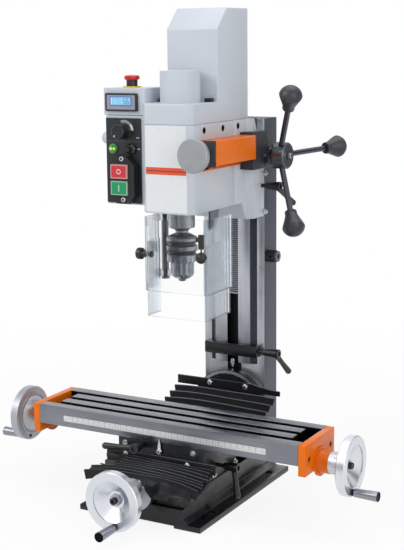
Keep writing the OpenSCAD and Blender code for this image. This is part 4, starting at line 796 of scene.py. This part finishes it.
arrow = Piece("tilt_pointer", "column", "steel", steel)
arrow.plate([(-4, 172), (4, 172), (0.4, 162.5), (-0.4, 162.5)], "y", 143.4, 144.6, 0.15)
arrow.lathe([(3.2, 0), (3.2, 1.6), (2.8, 2), (0, 2)], (0, 144.6, 175), TO_FRONT, 24)
arrow.done()

# Set screws with lock nuts in the head's slide, and two small screws in the side of the gear case
head_screws = Piece("head_screws", "head", "steel", steel, socket)
for z in (488.3, 426.4):
    head_screws.lathe([(0, 0), (4.6, 0), (4.6, 3.4), (4.1, 3.8), (2.6, 3.8), (2.6, 6.2), (2.2, 6.5),
                       (0, 6.5)], (55.5, 148, z), RIGHT, 24, 0, (1, 2, 3))
for z in (522, 549):
    head_screws.screw((72, -46.0, z), RIGHT, 3.4, 1.2, 1, 1)
head_screws.done()

# The bolt on the feed hub's end, and the three grub screws round the hub
hub_bolt = Piece("hub_bolt", "clutch", "steel", steel, black_plastic)
hub_end = (105.45, *FEED_SHAFT)
hub_bolt.lathe([(0, 0), (6.6, 0), (6.6, 1.2), (0, 1.2)], hub_end, RIGHT, 28, 1)
hub_bolt.lathe([(0, 1.2), (4.6, 1.2), (4.6, 4.6), (4.1, 5), (0, 5)], hub_end, RIGHT, 24, 0, (1, 2, 3))
hub_bolt.lathe([(1.4, 5.0), (1.4, 5.06), (0, 5.06)], hub_end, RIGHT, 16, 1)
hub_bolt.done()
grub = Piece("hub_grub", "clutch", "black_plastic", socket)
for k in range(3):
    turn = Matrix.Translation((0, *FEED_SHAFT)) @ Matrix.Rotation(radians(38 + 120 * k), 4, "X")
    at = turn @ Matrix.Translation((82, 0, 21))
    outward = at.to_3x3() @ Vector(UP)
    grub.lathe([(2.4, 0), (2.4, 0.45), (1.6, 0.45), (0, 0.2)], at @ Vector((0, 0, -0.4)), outward, 20)
grub.done()

screw_black = grain("screw_black", linear(40, 41, 44), 0.35).done()
end_screws = Piece("end_plate_screws", "table", "steel", screw_black, socket)
for way, x in ((1, 233.4), (-1, -227.4)):
    for y in (-80.9, -3.9):
        end_screws.screw((x, y, 109.7), (way, 0, 0), 7.6, 5.0)
end_screws.done()

# Lines of the dials


def dial_lines(name, body, place, axis, z, long, short):
    """40 lines round a dial, every fifth one long. The limits are those of the line at the top: z is the
    same for all, long and short give x and y."""
    lines = Piece(name, body, "aluminium", label_ink)
    for k in range(40):
        x, y = short if k % 5 else long
        at = Matrix.Translation(place) @ Matrix.Rotation(2 * pi * k / 40, 4, axis)
        lines.box(x, y, z, 0, 0, at)
    lines.done()


lo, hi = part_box("x_dial")
r = (hi.y - lo.y) / 2 / MM
dial_lines("dial_lines_x", "table_screw", (0, *TABLE_SCREW), "X", (r - 0.12, r + 0.04),
           long=((265.9, 273.4), (-0.45, 0.45)), short=((268.9, 273.4), (-0.26, 0.26)))
lo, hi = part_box("y_dial")
r = (hi.x - lo.x) / 2 / MM
screw_x, screw_z = CROSS_SCREW
dial_lines("dial_lines_y", "cross_screw", (screw_x, 0, screw_z), "Y", (r - 0.12, r + 0.03),
           long=((-0.22, 0.22), (-179.9, -174.2)), short=((-0.22, 0.22), (-178.0, -174.2)))

# Panel, display and keys

PANEL = (-52.2, -52.0)  # y, front and back of what is printed on the upper panel
mark_white = satin("mark_white", linear(214, 217, 220), 0.4, 0.02, 0.01).done()
mark_grey = satin("mark_grey", linear(150, 156, 162), 0.4, 0.02, 0.01).done()
edge_grey = satin("edge_grey", linear(120, 124, 130), 0.3, 0.02, 0.01).done()
face = Piece("panel_marks", "head", "white_paint", mark_white, steel, socket, mark_grey, edge_grey)
for a0, a1, mat in ((112, 78, 3), (78, 40, 3), (40, 4, 0)):
    face.plate(band(*SPEED_KNOB, 16.6, 12.6, a0, a1, 12), "y", *PANEL, mat=mat)
for x0, x1, z in ((-58.6, -53.8, 556.2), (-56.6, -52.6, 539.4)):
    face.box((x0, x1), PANEL, (z - 0.6, z + 0.6), 0)
for a0, a1 in ((194, 212), (214, 230)):
    face.plate(band(*SPEED_KNOB, 13.6, 12.9, a0, a1, 5), "y", *PANEL)
face.box((-112.5, -49.3), (-52.12, -52.0), (550.6, 550.9), 0, 4)
for x, z in ((-78, 525), (-76, 463.5)):
    face.screw((x, -64, z), TO_FRONT, 7.4, 1.6, 1, 2)
face.done()

# A thin frame round each of the two keys
rim = Piece("switch_rim", "head", "black_plastic", edge_grey)
x0, x1, line = -96.9, -96.9 + 29.8, 0.5
for z0 in (494.8, 469.8):
    z1 = z0 + 22
    for xs, zs in (((x0, x1), (z0, z0 + line)), ((x0, x1), (z1 - line, z1)),
                   ((x0, x0 + line), (z0, z1)), ((x1 - line, x1), (z0, z1))):
        rim.box(xs, (-64.5, -63.9), zs, 0)
rim.done()

knob_mark = Piece("knob_mark", "speed", "white_paint", mark_white)
at = Matrix.Translation((SPEED_KNOB[0], -72, SPEED_KNOB[1])) @ Matrix.Rotation(radians(38), 4, "Y")
knob_mark.plate([(-1.2, -9.4), (1.2, -9.4), (0, -6.0)], "y", -0.15, 0.1, at=at)
knob_mark.done()

glow = Paint("lcd_glow", linear(128, 190, 224), 0.25, Emission_Strength=0.2)
glow.feed("Emission Color", linear(150, 214, 240))
glow.shade(glow.noise(90, 2), 0.12)
pale_end = glow.within(1.5, x=(None, -100))
glow.over(pale_end, linear(196, 232, 246))
lcd_blue = grain("lcd_edge", linear(98, 122, 190), 0.35).done()
lcd_grey = grain("lcd_frame", linear(150, 148, 168), 0.4).done()
lcd = Piece("display_face", "head", "black_plastic", lcd_grey, lcd_blue, glow.done(), label_ink)
lcd.plate(rounded(-108.6, -59.0, 598.2, 619.6, 0.8), "y", -54.15, -54.0)
lcd.plate(rounded(-103.4, -64.4, 603.2, 617.8, 0.8), "y", -54.3, -54.1, mat=1)
lcd.plate(rounded(-101.4, -66.6, 605.2, 616.2, 0.5), "y", -54.4, -54.2, mat=2)


def digit(piece, x, z, bars, w=4.2, h=8.4, t=0.75):
    """A figure of seven bars: a at the top, then b to f clockwise, and g across the middle."""
    mid = z + h / 2
    across, left, right = (x, x + w), (x, x + t), (x + w - t, x + w)
    spots = {
        "a": (across, (z + h - t, z + h)), "b": (right, (mid, z + h)), "c": (right, (z, mid)),
        "d": (across, (z, z + t)), "e": (left, (z, mid)), "f": (left, (mid, z + h)),
        "g": (across, (mid - t / 2, mid + t / 2)),
    }
    for bar in bars:
        xs, zs = spots[bar]
        piece.box((xs[0] + 0.12, xs[1] - 0.12), (-54.45, -54.35), (zs[0] + 0.1, zs[1] - 0.1), 0, 3)


digit(lcd, -79.4, 606.4, "acdfg")
digit(lcd, -73.6, 606.4, "acdefg")
lcd.done()

stop_sign = Piece("stop_sign", "stop_key", "white_paint", mark_white)
stop_sign.lathe([(3.9, 0), (3.9, 0.2), (2.7, 0.2), (2.7, 0)], (-82, -67.0, 505.8), TO_FRONT, 28)
stop_sign.done()
start_sign = Piece("start_sign", "start_key", "white_paint", mark_white)
start_sign.box((-82.6, -81.4), (-67.2, -67.0), (475.8, 485.8), 0)
start_sign.done()

amber = dict(Emission_Strength=0.4, Emission_Color=linear(250, 200, 70))
p = Paint("lamp_spots", linear(244, 190, 50), 0.3, **amber)
p.shade(p.noise(900, 2), 0.1)
lamp = Piece("lamp_glow", "head", "green_plastic", p.done())
lo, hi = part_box("power_lamp")
for x in (-102.4, -96.9):
    lamp.lathe([(2.2, 0), (1.9, 0.3), (0, 0.4)], (x, lo.y / MM - 0.05, 539), TO_FRONT, 20)
lamp.done()

caps = Piece("cover_fittings", "head", "black_plastic", black_plastic)
caps.box((27, 39), (4, 14), (608, 614), 1.0)
caps.lathe([(6, 0), (6, 4.5), (4.5, 6.5), (0, 7)], (-37, -10, 608), UP, 28)
caps.done()

# Stage and light

MIDDLE = (0, 0, 0.35)


def aim(o, at, to):
    """Places an object that looks from one point to another."""
    o.location = at
    o.rotation_euler = (Vector(to) - Vector(at)).to_track_quat("-Z", "Y").to_euler()
    scene.collection.objects.link(o)


def flat_object(name, bm, mat):
    mesh = bpy.data.meshes.new(name)
    bm.to_mesh(mesh)
    bm.free()
    mesh.materials.append(mat)
    return bpy.data.objects.new(name, mesh)


def stage_material(name, near, far):
    """White floor: diffuse with the object's shadow near it, plain white further out."""
    m = bpy.data.materials.new(name)
    t = Tree(m)
    co = t.node("TexCoord").outputs["Object"]
    length = t.node("VectorMath", {0: co}, operation="LENGTH").outputs["Value"]
    fade = t.span(length, near, far, 0.88, 1.0, interpolation_type="SMOOTHSTEP")
    diffuse = t.node("BsdfDiffuse", {"Color": (0.86, 0.86, 0.86, 1)})
    white = t.node("Emission", {"Color": (1, 1, 1, 1), "Strength": 1.0})
    factor = t.math("MULTIPLY", fade, t.seen())
    mix = t.node("MixShader", {0: factor, 1: diffuse.outputs[0], 2: white.outputs[0]})
    t.node("OutputMaterial", {0: mix.outputs[0]})
    return m


def softbox(name, at, size, power):
    light = bpy.data.lights.new(name, "AREA")
    light.shape, light.size, light.size_y, light.energy = "RECTANGLE", size[0], size[1], power
    aim(bpy.data.objects.new(name, light), at, MIDDLE)


def flag(name, at, size, grey):
    """A grey card beside the set that only reflections see, so that metal has something to mirror."""
    m = bpy.data.materials.new(name)
    t = Tree(m)
    t.node("OutputMaterial", {0: t.node("Emission", {0: (grey, grey, grey * 1.03, 1)}).outputs[0]})
    bm = bmesh.new()
    bmesh.ops.create_grid(bm, x_segments=1, y_segments=1, size=0.5)
    o = flat_object(name, bm, m)
    o.scale = (size[0], size[1], 1)
    aim(o, at, MIDDLE)
    o.visible_camera = o.visible_diffuse = o.visible_shadow = False


bm = bmesh.new()
bmesh.ops.create_circle(bm, cap_ends=True, radius=9, segments=64)
floor = flat_object("floor", bm, stage_material("floor_white", 0.45, 1.3))
floor.location = (0, 0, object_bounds()[0][2] - 0.0005)
scene.collection.objects.link(floor)

# The sky is pure white where it is seen and lights the machine with less than half of that
scene.world = bpy.data.worlds.new("studio")
t = Tree(scene.world)
sky = t.node("Background", {0: (1, 1, 1, 1), 1: t.span(t.seen(), 0, 1, 0.46, 1.0)})
t.node("OutputWorld", {0: sky.outputs[0]})

softbox("key", (-1.6, -2.2, 2.2), (1.6, 1.6), 39)
softbox("fill", (2.4, -1.2, 1.2), (1.4, 1.8), 21)
softbox("top", (0.1, 0.3, 2.8), (2.0, 2.0), 27)
for angle in (-157.5, -112.5, -22.5, 22.5, 67.5):
    where = (3.3 * cos(radians(angle)), 3.3 * sin(radians(angle)), 0.8)
    flag("card_" + str(int(angle) % 360), where, (1.15, 3.2), 0.05)
flag("card_above", (0.6, -0.6, 3.4), (1.2, 2.4), 0.15)
flag("card_left_high", (-2.6, 0.9, 2.4), (0.5, 2.2), 0.06)

# The photo's camera, fitted to the straight edges of the machine

lens = bpy.data.cameras.new("camera")
lens.sensor_fit, lens.sensor_height, lens.lens = "VERTICAL", 36, 81.32
lens.shift_x, lens.shift_y = 0.0086, -0.0409
camera = bpy.data.objects.new("camera", lens)
yaw, pitch, roll = radians(29.207), radians(-9.675), radians(-0.573)
ahead = Vector((-sin(yaw) * cos(pitch), cos(yaw) * cos(pitch), sin(pitch)))
right = Vector((cos(yaw), sin(yaw), 0))
up = right.cross(ahead)
right, up = cos(roll) * right + sin(roll) * up, -sin(roll) * right + cos(roll) * up
turn = Matrix((right, up, -ahead)).transposed().to_4x4()
camera.matrix_world = Matrix.Translation((0.92926, -1.63554, 0.69890)) @ turn
scene.collection.objects.link(camera)
scene.camera = camera
scene.view_settings.view_transform = "Standard"
